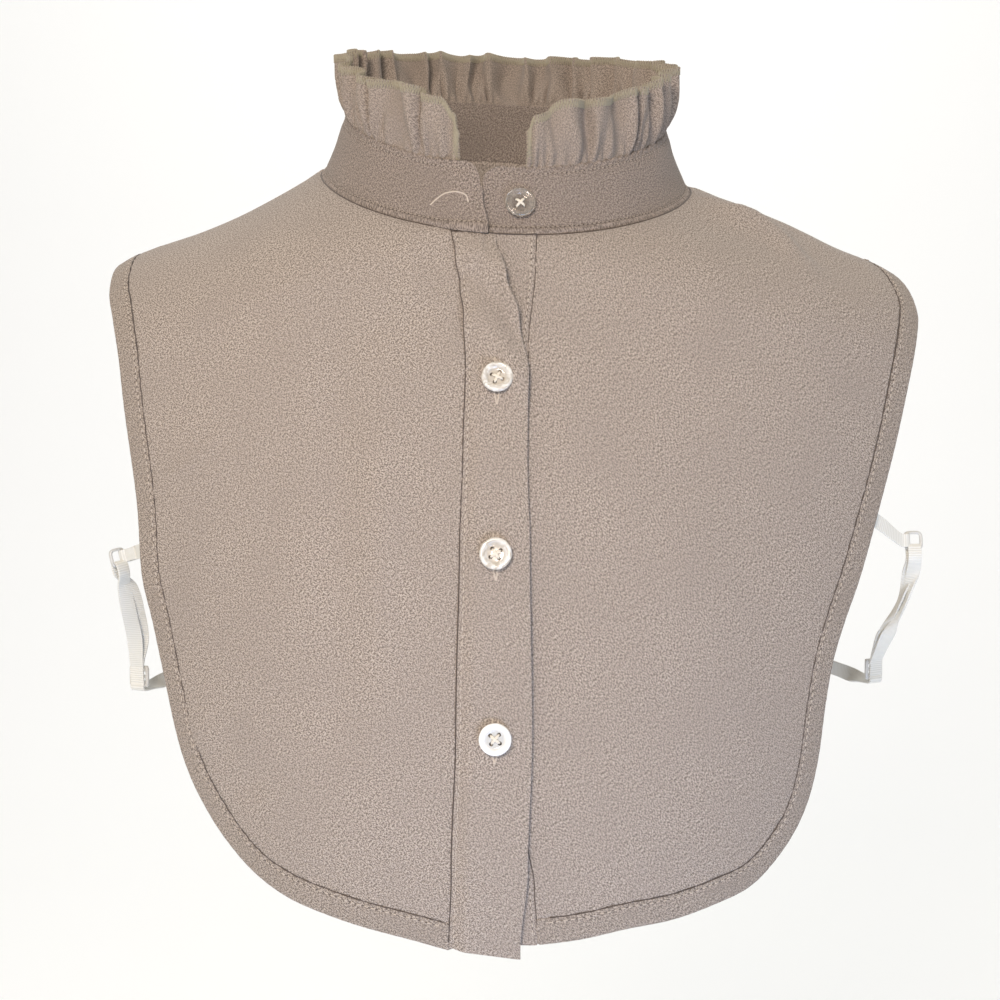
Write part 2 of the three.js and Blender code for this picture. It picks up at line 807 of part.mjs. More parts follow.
const innerMargin = hemWidth + hemGap;
const leftSeam = (run) => placketX(run, 'seam') - gap / 2;
const rightSeam = () => placketWidth * underSeam + gap / 2;
const leftPanel = frontPanel(-1, leftEdge, leftSeam, innerMargin);
const rightPanel = frontPanel(1, rightEdge, rightSeam, innerMargin);
const rearPanel = backPanel(innerMargin);

function panelPoint(surface) {
  return (u, v) => raise(surface(u, v));
}

const panelColumns = 23;
const panelRows = 12;
addPiece('front_panel', wall(panelPoint(leftPanel), panelColumns, panelRows, clothThick), cloth);
addPiece(
  'front_panel_under',
  wall(panelPoint(rightPanel), panelColumns, panelRows, clothThick),
  cloth,
);
addPiece('back_panel', wall(panelPoint(rearPanel), 28, panelRows, clothThick), cloth);

const stripIn = gap / 2;
const lapping = strip(
  (run) => placketX(run, 'seam') + stripIn,
  (run) => placketX(run, 'edge'),
  placketEnd,
);
const lapped = strip(
  () => placketWidth * underReach,
  () => placketWidth * underSeam - stripIn,
  underEnd,
);
addPiece('placket', wall(lapping, 20, 2, placketThick, () => lappingLevel), cloth);
addPiece('under_placket', wall(lapped, 20, 2, placketThick, () => lappedLevel), cloth);

addPiece('hem_left', wall(frontHem(-1, leftEdge, leftSeam), 48, 1, hemThick, () => hemLevel), hemCloth);
addPiece('hem_right', wall(frontHem(1, rightEdge, rightSeam), 48, 1, hemThick, () => hemLevel), hemCloth);
addPiece('hem_back', wall(rearHem(), 56, 1, hemThick, () => hemLevel), hemCloth);

addPiece('collar_band', wall(bandPoint, 72, 2, bandThick, bandLevel), cloth);
addPiece('frill', wall(frillPoint, frillFolds * 4, 2, frillThick), frillCloth);

const buttonLevel = lappingLevel + placketThick / 2 + gap;
for (const row of buttonRows) {
  const run = row.down * frontDrop;
  const top = neckOnDrape(0).y;
  const u = (run - top) / (placketEnd * frontDrop - top);
  const x = placketWidth * buttonAcross;
  const seam = placketX(run, 'seam') + stripIn;
  const v = (x - seam) / (placketX(run, 'edge') - seam);
  const normal = squareTo(lapping)(u, v);
  const spot = stripPoint(x, run).addScaledVector(normal, buttonLevel);
  placeButton(row.name, spot, normal, 0.2);
}
{
  const left = readTable(bandEnds, 'up', 'left', collarButtonUp);
  const right = readTable(bandEnds, 'up', 'right', collarButtonUp);
  const u = (collarButtonTurn - left) / (right - left);
  const normal = squareTo(bandPoint)(u, collarButtonUp);
  const spot = bandPoint(u, collarButtonUp).addScaledVector(normal, bandThick / 2 + 1.5 * gap);
  placeButton('collar_button', spot, normal, 0.1);
}

// Straps: a tab runs from the front hem over the ring, the strap hangs from the ring to the
// slider, and the back tab runs from the slider to the back's hem.
function addStrap(strap) {
  const front = strap.side < 0 ? leftEdge : rightEdge;
  const edge = edgeCurve(front, strap.side, frontDrop);
  const tabSeat = behindHem(edge, strap.tabDown * frontDrop, strap.side);
  const backSeat = behindHem(rearEdge(strap.side, front), -strap.backDown * backDrop, strap.side);
  const ringReach = (ringTall - ringBar) / 2;
  const sliderReach = (sliderTall - sliderBar) / 2;

  const ringMesh = addPiece(`ring_${strap.name}`, fitting(ringWide, ringTall, ringBar, 1), plastic);
  const ringWay = arrow(strap.ringWidth);
  const ring = placeFitting(ringMesh, arrow(strap.ring), ringWay, arrow(strap.ringAxis), ringReach);
  const sliderShape = fitting(sliderWide, sliderTall, sliderBar, 2);
  const sliderMesh = addPiece(`slider_${strap.name}`, sliderShape, plastic);
  const sliderWay = arrow(strap.sliderWidth);
  const sliderAxis = arrow(strap.sliderAxis);
  const slider = placeFitting(sliderMesh, arrow(strap.slider), sliderWay, sliderAxis, sliderReach);

  const ringDown = ring.y.clone().negate();
  const over = roundBar(ring.top, ringDown, ring.x, ringBar);
  if (over[0].distanceTo(tabSeat.spot) < over[4].distanceTo(tabSeat.spot)) over.reverse();
  const end = over[4].clone().addScaledVector(ring.y, tabRise * 0.5);
  const clear = over[0].clone().addScaledVector(ring.y, tabRise * 0.4);
  const bend = clear.clone().lerp(tabSeat.exit, 0.4).addScaledVector(ring.y, tabRise * 0.3);
  const tab = [tabSeat.spot, tabSeat.exit, bend, clear, ...over, end];
  const tabWay = tabSeat.along.dot(ring.x) < 0 ? tabSeat.along.negate() : tabSeat.along;
  addPiece(`tab_${strap.name}`, ribbon(tab, tabWay, ring.x, 1, 3), elastic);

  const route = strap.route.map(arrow);
  const topLoop = roundBar(ring.low, ring.y, ring.x, ringBar);
  const lowLoop = roundBar(slider.top, slider.y.clone().negate(), slider.x, sliderBar);
  const topTail = topLoop[0].clone().addScaledVector(ring.y, -ringTall * 0.6);
  const lowTail = lowLoop[4].clone().addScaledVector(slider.y, sliderTall * 0.6);
  const topClear = topLoop[4].clone().addScaledVector(ring.y, -ringTall * 0.4);
  const line = [topTail, ...topLoop, topClear, ...route, ...lowLoop, lowTail];
  addPiece(`strap_${strap.name}`, ribbon(line, ring.x, slider.x, 6, 10), elastic);

  const forward = slider.z.clone();
  if (forward.dot(backSeat.spot.clone().sub(slider.low)) > 0) forward.negate();
  const back = roundBar(slider.low, forward, slider.x, sliderBar);
  const backTail = back[0].clone().addScaledVector(forward, -sliderTall * 0.7);
  const backWay = backSeat.along.dot(slider.x) < 0 ? backSeat.along.negate() : backSeat.along;
  const between = (share) => back[4].clone().lerp(backSeat.exit, share);
  const backLine = [backTail, ...back, between(0.3), between(0.65), backSeat.exit, backSeat.spot];
  addPiece(`back_tab_${strap.name}`, ribbon(backLine, slider.x, backWay, 5, 8), elastic);
}

for (const strap of straps) addStrap(strap);

export default bibCollar;
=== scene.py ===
# %% [markdown]
# # A detachable bib collar
# A bib collar is the front, the back and the collar of a blouse, without sleeves or sides. It
# is worn under a jumper, so that only the collar shows. This one is cut from a matt crepe: two
# fronts that lap over each other and close with small buttons, a plain back, a stand collar
# with a gathered frill on top, and an elastic strap with a ring and a slider under each arm.
#
# Cloth takes its shape from the body that it hangs on. So the lesson starts with a few
# functions that describe that hanging shape, and then lays fine grids of cloth on it.

import math
from bisect import bisect
from functools import lru_cache

import bmesh
import bpy
from mathutils import Matrix, Vector, noise


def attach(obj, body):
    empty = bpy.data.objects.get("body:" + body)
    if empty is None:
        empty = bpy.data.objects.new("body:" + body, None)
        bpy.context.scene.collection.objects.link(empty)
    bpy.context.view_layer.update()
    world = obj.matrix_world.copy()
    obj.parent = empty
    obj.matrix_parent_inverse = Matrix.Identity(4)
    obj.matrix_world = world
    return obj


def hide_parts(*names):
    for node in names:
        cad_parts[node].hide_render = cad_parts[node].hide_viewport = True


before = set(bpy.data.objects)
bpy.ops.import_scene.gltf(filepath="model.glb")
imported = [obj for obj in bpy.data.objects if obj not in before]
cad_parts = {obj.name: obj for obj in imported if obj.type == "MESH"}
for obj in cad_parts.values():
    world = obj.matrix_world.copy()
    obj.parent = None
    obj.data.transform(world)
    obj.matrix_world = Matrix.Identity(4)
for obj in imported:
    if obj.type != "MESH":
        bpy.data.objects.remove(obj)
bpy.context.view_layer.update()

# %% [markdown]
# ## Sizes
# All sizes are in millimetres, as a pattern cutter writes them, and are turned to metres only
# when a mesh is made. They are the sizes of the cut piece: the neck opening, the shoulders and
# chest that the cloth hangs over, and the widths of its strips.

# %% Sizes in millimetres
MM = 0.001
NECK_HALF_WIDTH, NECK_HALF_DEPTH = 73.2, 66
NECK_SIDE_HEIGHT, NECK_FRONT_DROP, NECK_BACK_RISE, NECK_LEAN = -2.5, 24, 14, 4
BAND_RISE, BAND_TAPER, BAND_LAP, LAP_REACH = 24, 9.4, 2.3, 0.05
SHOULDER_START, SHOULDER_FALL, SHOULDER_ROUND = 6.5, 0.3, 45
TIP_START, TIP_DROP, TIP_REACH = 140, 9, 30
CHEST = {"deepest": 124, "level": -225, "top": -26.5, "wrap": 32, "growth": 0.25}
BACK = {"deepest": 92, "level": -200, "top": 11.5, "wrap": 30, "growth": 0.2}
WRAP_POWER = 2.3
BIB_HALF_WIDTH, FRONT_DROP, BACK_DROP = 160, 325, 285
SEAM_BEHIND, HEM_WIDTH = 8, 10
PLACKET_WIDTH, UNDER_REACH = 24, -0.4
PLACKET_END, UNDER_END = 0.983, 0.976
BUTTON_ACROSS = -0.03
FRILL_HEIGHT, FRILL_FOLDS, FOLD_DEPTH = 26, 44, 2.3
FRILL_START, FRILL_END = 0.0402, 0.9776
ROUND_REACH = SHOULDER_ROUND * math.pi / 2

# %% [markdown]
# ## The shape that the cloth hangs on
# The neck opening is a leaning oval. From it the cloth runs over the shoulder ridge and down
# the chest or the back. A point of the cloth is given by two numbers, as on a paper pattern:
# how far it is from the middle, and its run, the way over the cloth from the shoulder ridge.


# %% The neck opening and the draped surface
def neck_point(turn, rise=0.0):
    """A turn of 0 is the middle of the front, a quarter the left side, half the back."""
    angle = turn * math.tau
    shrink = BAND_TAPER * max(rise / BAND_RISE, 0) ** 0.8
    c = math.cos(angle)
    x = -(NECK_HALF_WIDTH - shrink) * math.sin(angle)
    tilt = (NECK_FRONT_DROP + NECK_BACK_RISE) / 2
    bowl = (NECK_FRONT_DROP - NECK_BACK_RISE) / 2
    z = NECK_SIDE_HEIGHT - tilt * c - bowl * c * c - NECK_LEAN * x / NECK_HALF_WIDTH + rise
    return Vector((x, -(NECK_HALF_DEPTH - shrink) * c, z))


def ridge_height(x):
    reach = abs(x)
    tip = max(0.0, (reach - TIP_START) / TIP_REACH)
    return -SHOULDER_START - (reach - NECK_HALF_WIDTH) * SHOULDER_FALL - TIP_DROP * tip * tip


def depth_at(x, z, body):
    bow = (body["deepest"] - NECK_HALF_DEPTH) / (body["top"] - body["level"]) ** 2
    wrap = body["wrap"] - body["growth"] * min(z, 0)
    side = wrap * (abs(x) / BIB_HALF_WIDTH) ** WRAP_POWER
    return body["deepest"] - bow * (z - body["level"]) ** 2 - side


# The soft folds of the worn cloth: across, down, wide, long, lift in millimetres, slant
FOLDS = [
    (-0.27, 0.45, 0.045, 0.2, 1.6, 0.05),
    (-0.36, 0.45, 0.05, 0.22, -1.3, 0.05),
    (-0.62, 0.8, 0.05, 0.07, -1.6, 0.9),
    (0.62, 0.05, 0.2, 0.035, 2.2, 0.3),
    (0.66, 0.11, 0.22, 0.03, -1.8, 0.3),
    (0.94, 0.01, 0.28, 0.11, -6.5, 0),
    (-0.78, 0.01, 0.4, 0.08, -2.2, 0),
]


def fold_lift(x, run):
    lift = 0.0
    for across, down, wide, long, height, slant in FOLDS:
        along = run / FRONT_DROP - down
        aside = (x / BIB_HALF_WIDTH - across - slant * along) / wide
        lift += height * math.exp(-aside * aside - (along / long) ** 2)
    return lift


def drape(x, run):
    """The point of the hanging cloth at this place of the pattern. A negative run is behind."""
    far = abs(run)
    turn = min(far / ROUND_REACH, 1) * math.pi / 2
    fall = SHOULDER_ROUND * (1 - math.cos(turn)) + max(0.0, far - ROUND_REACH)
    z = ridge_height(x) - fall
    lift = fold_lift(x, run)
    y = (depth_at(x, z, BACK if run < 0 else CHEST) + lift) * math.sin(turn)
    return Vector((x, y if run < 0 else -y, z + lift * math.cos(turn)))


def neck_on_drape(turn):
    """Where the neck opening lies on the pattern."""
    point = neck_point(turn)
    behind = point.y > 0
    share = min(1.0, abs(point.y) / depth_at(point.x, point.z, BACK if behind else CHEST))
    run = math.asin(share) / (math.pi / 2) * ROUND_REACH
    return Vector((point.x, -run if behind else run))


def turn_at_x(x):
    return math.asin(-x / NECK_HALF_WIDTH) / math.tau


def turn_at_run(run):
    low, high = 0.25, 0.4
    for _ in range(30):
        middle = (low + high) / 2
        if neck_on_drape(middle).y > run:
            low = middle
        else:
            high = middle
    return low


print("neck opening at the front", [round(x, 1) for x in neck_point(0)])

# %% [markdown]
# ## Smooth lines and eased tables
# A pattern's edge is drawn through a few measured points with a bent ruler. smooth_line does
# that: it passes through every point, and is walked by its share of the whole length. walk and
# step_at measure the way along any row of points, and are used again for stitches.


# %% Smooth lines
def walk(spots):
    """The way walked along the spots, up to each of them."""
    walked = [0.0]
    for a, b in zip(spots, spots[1:]):
        walked.append(walked[-1] + (b - a).length)
    return walked


def step_at(walked, want):
    """The step in which a way is reached, and the share of that step."""
    i = min(max(bisect(walked, want) - 1, 0), len(walked) - 2)
    return i, (want - walked[i]) / max(walked[i + 1] - walked[i], 1e-9)


def smooth_line(points, even=True, steps=24):
    """A function that walks a smooth line through the points, from share 0 to share 1."""
    first = points[0] if even else points[0] * 2 - points[1]
    last = points[-1] if even else points[-1] * 2 - points[-2]
    row = [first, *points, last]
    spots = []
    for p0, p1, p2, p3 in zip(row, row[1:], row[2:], row[3:]):
        if even:
            start, end = (p2 - p0) / 2, (p3 - p1) / 2
        else:
            a, b, c = ((q - p).length ** 0.5 or 1e-4 for p, q in ((p0, p1), (p1, p2), (p2, p3)))
            start = ((p1 - p0) / a - (p2 - p0) / (a + b) + (p2 - p1) / b) * b
            end = ((p2 - p1) / b - (p3 - p1) / (b + c) + (p3 - p2) / c) * b
        for k in range(steps):
            t = k / steps
            bend = (p2 - p1) * 3 - start * 2 - end
            spots.append(p1 + start * t + bend * t**2 + ((p1 - p2) * 2 + start + end) * t**3)
    spots.append(points[-1])
    walked = walk(spots)

    def at(share):
        i, part = step_at(walked, min(max(share, 0), 1) * walked[-1])
        return spots[i].lerp(spots[i + 1], part)

    at.length = walked[-1]
    return at


def ease(low, high, value):
    share = min(max((value - low) / (high - low), 0), 1)
    return share * share * (3 - 2 * share)


def read_table(rows, column, value):
    """Reads a column of a table whose rows start with a growing number, easing between rows."""
    for before, after in zip(rows, rows[1:]):
        if value <= after[0]:
            return before[column] + (after[column] - before[column]) * ease(before[0], after[0], value)
    return rows[-1][column]


# %% [markdown]
# ## The cut outline
# The outer edges of the fronts and the back are tables of down and across, as shares of the
# drop and of the half width. The placket's table gives its seam and its free edge.

# %% Outline tables
LEFT_EDGE = [
    (-SEAM_BEHIND / FRONT_DROP, 0.985), (0.03, 0.989), (0.11, 0.979), (0.163, 0.951),
    (0.211, 0.926), (0.278, 0.904), (0.394, 0.863), (0.479, 0.847), (0.54, 0.817),
    (0.661, 0.764), (0.719, 0.728), (0.767, 0.683), (0.808, 0.632), (0.847, 0.566),
    (0.882, 0.479), (0.91, 0.381), (0.931, 0.3), (0.957, 0.193), (0.98, 0.108),
]  # fmt: skip
RIGHT_EDGE = [
    (-SEAM_BEHIND / FRONT_DROP, 0.965), (0.03, 0.985), (0.08, 1.005), (0.114, 1.013),
    (0.144, 1.01), (0.212, 0.98), (0.335, 0.921), (0.467, 0.843), (0.535, 0.796),
    (0.583, 0.768), (0.637, 0.749), (0.699, 0.733), (0.752, 0.709), (0.794, 0.673),
    (0.833, 0.621), (0.862, 0.566), (0.885, 0.49), (0.911, 0.39), (0.932, 0.286),
    (0.956, 0.184), (0.975, 0.09),
]  # fmt: skip
BACK_EDGE = [
    (1, 0), (0.958, 0.25), (0.919, 0.42), (0.87, 0.55), (0.8, 0.65),
    (0.7, 0.71), (0.58, 0.75), (0.456, 0.79), (0.31, 0.87), (0.158, 0.94),
]  # fmt: skip
PLACKET_LINE = [
    (0.197, -0.79, -0.26), (0.235, -0.7, -0.08), (0.27, -0.62, 0.09), (0.306, -0.55, 0.29),
    (0.363, -0.51, 0.43), (0.45, -0.53, 0.42), (0.55, -0.56, 0.46), (0.74, -0.6, 0.5),
    (0.89, -0.67, 0.44), (0.985, -0.72, 0.33),
]  # fmt: skip
UNDER_LINE = [
    (0.15, 0.56), (0.235, 0.52), (0.33, 0.42), (0.45, 0.38), (0.74, 0.42), (0.86, 0.43),
    (0.91, 0.53), (0.976, 0.58),
]  # fmt: skip
SEAM, EDGE = 1, 2


def edge_line(rows, side, drop, extra=()):
    points = [Vector((side * across * BIB_HALF_WIDTH, down * drop)) for down, across in rows]
    return smooth_line([*points, *extra])


def rear_edge(side, front_rows, seam_run):
    tip = Vector((side * front_rows[0][1] * BIB_HALF_WIDTH, seam_run))
    return edge_line(BACK_EDGE, side, -BACK_DROP, [tip])


def placket_x(run, column):
    return PLACKET_WIDTH * read_table(PLACKET_LINE, column, run / FRONT_DROP)


def under_seam(run):
    return PLACKET_WIDTH * read_table(UNDER_LINE, SEAM, run / FRONT_DROP)


def inset(curve, share, distance, inward):
    """Steps over the cloth from a point of an edge, at right angles to the edge."""
    here = curve(share)
    edge = curve(share + 0.002) - curve(share - 0.002)
    spot = drape(here.x, here.y)
    along_x = (drape(here.x + 0.5, here.y) - spot) * 2
    along_run = (drape(here.x, here.y + 0.5) - spot) * 2
    tangent = along_x * edge.x + along_run * edge.y
    way = along_x.cross(along_run).cross(tangent).normalized() * distance * inward
    xx, xr, rr = along_x.dot(along_x), along_x.dot(along_run), along_run.dot(along_run)
    wx, wr, scale = way.dot(along_x), way.dot(along_run), xx * rr - xr * xr
    return here + Vector(((wx * rr - wr * xr) / scale, (wr * xx - wx * xr) / scale))


FRONT_SEAM = -SEAM_BEHIND
REAR_SEAM = -SEAM_BEHIND + 1.6
left_curve = edge_line(LEFT_EDGE, -1, FRONT_DROP)
right_curve = edge_line(RIGHT_EDGE, 1, FRONT_DROP)
print("cut edge of the left front, in mm:", round(left_curve.length))

# %% [markdown]
# ## Colours and one small function for nodes
# Colours are picked as sRGB hex, the way a dye chart gives them, and turned to linear light
# once. node adds a node, sets it up and links what it is given.


# %% Colour and node helpers
def linear(code):
    channels = (int(code[i : i + 2], 16) / 255 for i in (1, 3, 5))
    return tuple(c / 12.92 if c <= 0.04045 else ((c + 0.055) / 1.055) ** 2.4 for c in channels) + (1,)


def node(tree, kind, inputs=(), **settings):
    made = tree.nodes.new(kind)
    for key, value in settings.items():
        setattr(made, key, value)
    for key, value in dict(inputs).items():
        if isinstance(value, bpy.types.NodeSocket):
            tree.links.new(value, made.inputs[key])
        else:
            made.inputs[key].default_value = value
    return made


def new_material(name, rough):
    material = bpy.data.materials.new(name)
    material.use_nodes = True
    shader = material.node_tree.nodes["Principled BSDF"]
    shader.inputs["Roughness"].default_value = rough
    return material, material.node_tree, shader


# %% [markdown]
# ## Matt woven crepe
# Crepe is a plain weave of hard twisted polyester yarn. The twist makes the yarn crinkle, so
# the cloth has no straight threads to see, but a fine pebble that runs along both diagonals.
# It scatters light, so the cloth is matt, with a faint sheen where it turns away. The real
# pebble is finer than a picture of the whole bib can show, so it is drawn coarser here, about
# 0.8 mm long and half as wide. The pattern follows the cloth's own flat map.


# %% Crepe material
def crepe(name, light, dark, patch, pebble=0.36):
    material, tree, shader = new_material(name, 0.86)
    shader.inputs["Sheen Weight"].default_value = 0.12
    shader.inputs["Sheen Roughness"].default_value = 0.45
    shader.inputs["Specular IOR Level"].default_value = 0.25
    flat = node(tree, "ShaderNodeUVMap", uv_map="Cloth").outputs["UV"]
    grains = []
    for angle in (46, -43):
        turned = node(
            tree,
            "ShaderNodeMapping",
            {"Vector": flat, "Rotation": (0, 0, math.radians(angle)), "Scale": (2.1, 1, 1)},
            vector_type="TEXTURE",
        )
        grain = node(
            tree,
            "ShaderNodeTexNoise",
            {"Vector": turned.outputs["Vector"], "Scale": 1 / (pebble * MM), "Detail": 1.5, "Roughness": 0.6},
        )
        grains.append(grain.outputs["Fac"])
    both = node(tree, "ShaderNodeMix", {"Factor": 0.33, "A": grains[0], "B": grains[1]}, data_type="FLOAT")
    pebbles = node(
        tree,
        "ShaderNodeMapRange",
        {"Value": both.outputs["Result"], "From Min": 0.4, "From Max": 0.6},
        interpolation_type="SMOOTHSTEP",
    ).outputs["Result"]
    place = node(tree, "ShaderNodeTexCoord").outputs["Object"]
    cloud = node(tree, "ShaderNodeTexNoise", {"Vector": place, "Scale": 1 / (26 * MM), "Detail": 2})
    patches = node(
        tree,
        "ShaderNodeMapRange",
        {"Value": cloud.outputs["Fac"], "From Min": 0.35, "From Max": 0.75, "To Max": 0.4},
    )
    base = node(
        tree,
        "ShaderNodeMix",
        {"Factor": pebbles, "A": linear(dark), "B": linear(light)},
        data_type="RGBA",
    )
    worn = node(
        tree,
        "ShaderNodeMix",
        {"Factor": patches.outputs["Result"], "A": base.outputs["Result"], "B": linear(patch)},
        data_type="RGBA",
    )
    tree.links.new(worn.outputs["Result"], shader.inputs["Base Color"])
    bump = node(
        tree,
        "ShaderNodeBump",
        {"Height": pebbles, "Strength": 0.8, "Distance": 0.12 * MM},
    )
    tree.links.new(bump.outputs["Normal"], shader.inputs["Normal"])
    return material


crepe_panel = crepe("Woven crepe taupe", "#c0b3a7", "#6e645b", "#948980")
crepe_hem = crepe("Woven crepe doubled hem", "#b9ac9f", "#685e55", "#8e8379")
# Painted shade: the band is the panels' crepe drawn darker, standing for the shade it falls in.
crepe_band = crepe("Woven crepe band, darkened as painted shade", "#a89a8f", "#5f554d", "#80756c")
# Painted shade: the frill is the same crepe drawn darker, standing for the shade it falls in.
crepe_frill = crepe("Woven crepe frill, darkened as painted shade", "#ad9f92", "#74695f", "#8c8076")

# %% [markdown]
# ## Thread, pearl and elastic
# Sewing thread is spun polyester, a shade lighter than the cloth, but for the collar's, which
# matches it. The overlock thread round the frill is a greyer olive. The buttons are cast
# polyester resin with a hard gloss: pearly or milky on the button strip, clear on the collar.
# The elastic is woven nylon over rubber, with fine ribs across it, and the ring and slider are
# moulded nylon.


# %% Thread, resin and nylon materials
def thread_material(name, light, dark):
    material, tree, shader = new_material(name, 0.7)
    shader.inputs["Sheen Weight"].default_value = 0.2
    place = node(tree, "ShaderNodeTexCoord").outputs["Object"]
    fibre = node(tree, "ShaderNodeTexNoise", {"Vector": place, "Scale": 1 / (0.5 * MM), "Detail": 2})
    mixed = node(
        tree,
        "ShaderNodeMix",
        {"Factor": fibre.outputs["Fac"], "A": linear(dark), "B": linear(light)},
        data_type="RGBA",
    )
    tree.links.new(mixed.outputs["Result"], shader.inputs["Base Color"])
    bump = node(
        tree, "ShaderNodeBump", {"Height": fibre.outputs["Fac"], "Strength": 0.5, "Distance": 0.05 * MM}
    )
    tree.links.new(bump.outputs["Normal"], shader.inputs["Normal"])
    return material


def resin(name, light, dark, dish, clear, rough):
    """Cast resin. The map's first number is the way from the button's middle, in metres."""
    material, tree, shader = new_material(name, rough)
    shader.inputs["Transmission Weight"].default_value = clear
    shader.inputs["IOR"].default_value = 1.5
    shader.inputs["Coat Weight"].default_value = 0.6
    shader.inputs["Coat Roughness"].default_value = 0.05
    place = node(tree, "ShaderNodeTexCoord").outputs["Object"]
    swirl = node(
        tree,
        "ShaderNodeTexNoise",
        {"Vector": place, "Scale": 1 / (5 * MM), "Detail": 3, "Distortion": 2.2},
    )
    clouds = node(
        tree, "ShaderNodeMapRange", {"Value": swirl.outputs["Fac"], "From Min": 0.38, "From Max": 0.62}
    )
    mixed = node(
        tree,
        "ShaderNodeMix",
        {"Factor": clouds.outputs["Result"], "A": linear(dark), "B": linear(light)},
        data_type="RGBA",
    )
    turned = node(tree, "ShaderNodeUVMap", uv_map="Turned").outputs["UV"]
    radius = node(tree, "ShaderNodeSeparateXYZ", {"Vector": turned}).outputs["X"]
    floor = node(
        tree,
        "ShaderNodeMapRange",
        {"Value": radius, "From Min": 2.7 * MM, "From Max": 3.9 * MM, "To Min": 1, "To Max": 0},
        interpolation_type="SMOOTHSTEP",
    )
    toned = node(
        tree,
        "ShaderNodeMix",
        {"Factor": floor.outputs["Result"], "A": mixed.outputs["Result"], "B": linear(dish)},
        data_type="RGBA",
    )
    tree.links.new(toned.outputs["Result"], shader.inputs["Base Color"])
    return material


def moulded_nylon(name, light, dark):
    """Moulded nylon is slightly see-through, with a soft gloss and a faint flow pattern."""
    material, tree, shader = new_material(name, 0.28)
    shader.inputs["Transmission Weight"].default_value = 0.3
    shader.inputs["IOR"].default_value = 1.53
    place = node(tree, "ShaderNodeTexCoord").outputs["Object"]
    flow = node(tree, "ShaderNodeTexNoise", {"Vector": place, "Scale": 1 / (3 * MM), "Detail": 2})
    mixed = node(
        tree,
        "ShaderNodeMix",
        {"Factor": flow.outputs["Fac"], "A": linear(dark), "B": linear(light)},
        data_type="RGBA",
    )
    tree.links.new(mixed.outputs["Result"], shader.inputs["Base Color"])
    bump = node(
        tree, "ShaderNodeBump", {"Height": flow.outputs["Fac"], "Strength": 0.2, "Distance": 0.1 * MM}
    )
    tree.links.new(bump.outputs["Normal"], shader.inputs["Normal"])
    return material


nylon = moulded_nylon("Moulded nylon", "#ecebe5", "#d2d0c8")


def elastic_material(name, light, dark):
    material, tree, shader = new_material(name, 0.42)
    shader.inputs["Sheen Weight"].default_value = 0.25
    flat = node(tree, "ShaderNodeUVMap", uv_map="Cloth").outputs["UV"]
    ribs = node(
        tree,
        "ShaderNodeTexWave",
        {"Vector": flat, "Scale": math.tau / (0.9 * MM) / 20, "Distortion": 0.5, "Detail": 1},
        bands_direction="X",
    )
    mixed = node(
        tree,
        "ShaderNodeMix",
        {"Factor": ribs.outputs["Fac"], "A": linear(dark), "B": linear(light)},
        data_type="RGBA",
    )
    tree.links.new(mixed.outputs["Result"], shader.inputs["Base Color"])
    bump = node(
        tree, "ShaderNodeBump", {"Height": ribs.outputs["Fac"], "Strength": 0.6, "Distance": 0.15 * MM}
    )
    tree.links.new(bump.outputs["Normal"], shader.inputs["Normal"])
    return material


top_thread = thread_material("Spun polyester thread", "#d3c7b8", "#b0a294")
matched_thread = thread_material("Spun polyester thread matched", "#bfb1a2", "#968a7d")
# Painted shade: this dark thread colour stands for the shade in seam grooves and needle holes.
shaded_thread = thread_material("Thread in the shade of a seam", "#57493f", "#40362e")
overlock_thread = thread_material("Overlock thread", "#aba28c", "#7b725e")
button_thread = thread_material("Button thread", "#efe9dc", "#cfc6b4")
pearl = resin("Cast polyester resin pearly", "#fdfbf5", "#cfc6b6", "#d5cbbb", 0.25, 0.16)
pearl_white = resin("Cast polyester resin milky", "#fffefb", "#ecebe6", "#c9c8c3", 0.05, 0.2)
clear_resin = resin("Cast polyester resin clear", "#f3ece1", "#ddd2c4", "#d8ccbd", 0.85, 0.12)
elastic = elastic_material("Woven elastic", "#e2e1d9", "#d0cfc6")

# %% [markdown]
# ## Laying cloth
# A piece of cloth starts as a flat grid. Each of its points is carried to its place on the
# hanging shape, and then raised or sunk a little along the cloth's own normal: that relief
# holds the creases, the puckers beside a seam and the furrow under a row of stitches. The
# grid keeps a flat map in metres, so that the weave follows the cloth. A Solidify modifier
# gives the cloth its thickness and a Bevel rounds its cut or folded edge.


# %% The cloth function
CORE = Vector((0, 0, -114))


def finish_piece(obj, nodes):
    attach(obj, "root")
    if nodes:
        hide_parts(*nodes)
    return obj


def new_object(name, bm, material):
    mesh = bpy.data.meshes.new(name)
    bm.to_mesh(mesh)
    bm.free()
    mesh.materials.append(material)
    for polygon in mesh.polygons:
        polygon.use_smooth = True
    obj = bpy.data.objects.new(name, mesh)
    bpy.context.scene.collection.objects.link(obj)
    return obj


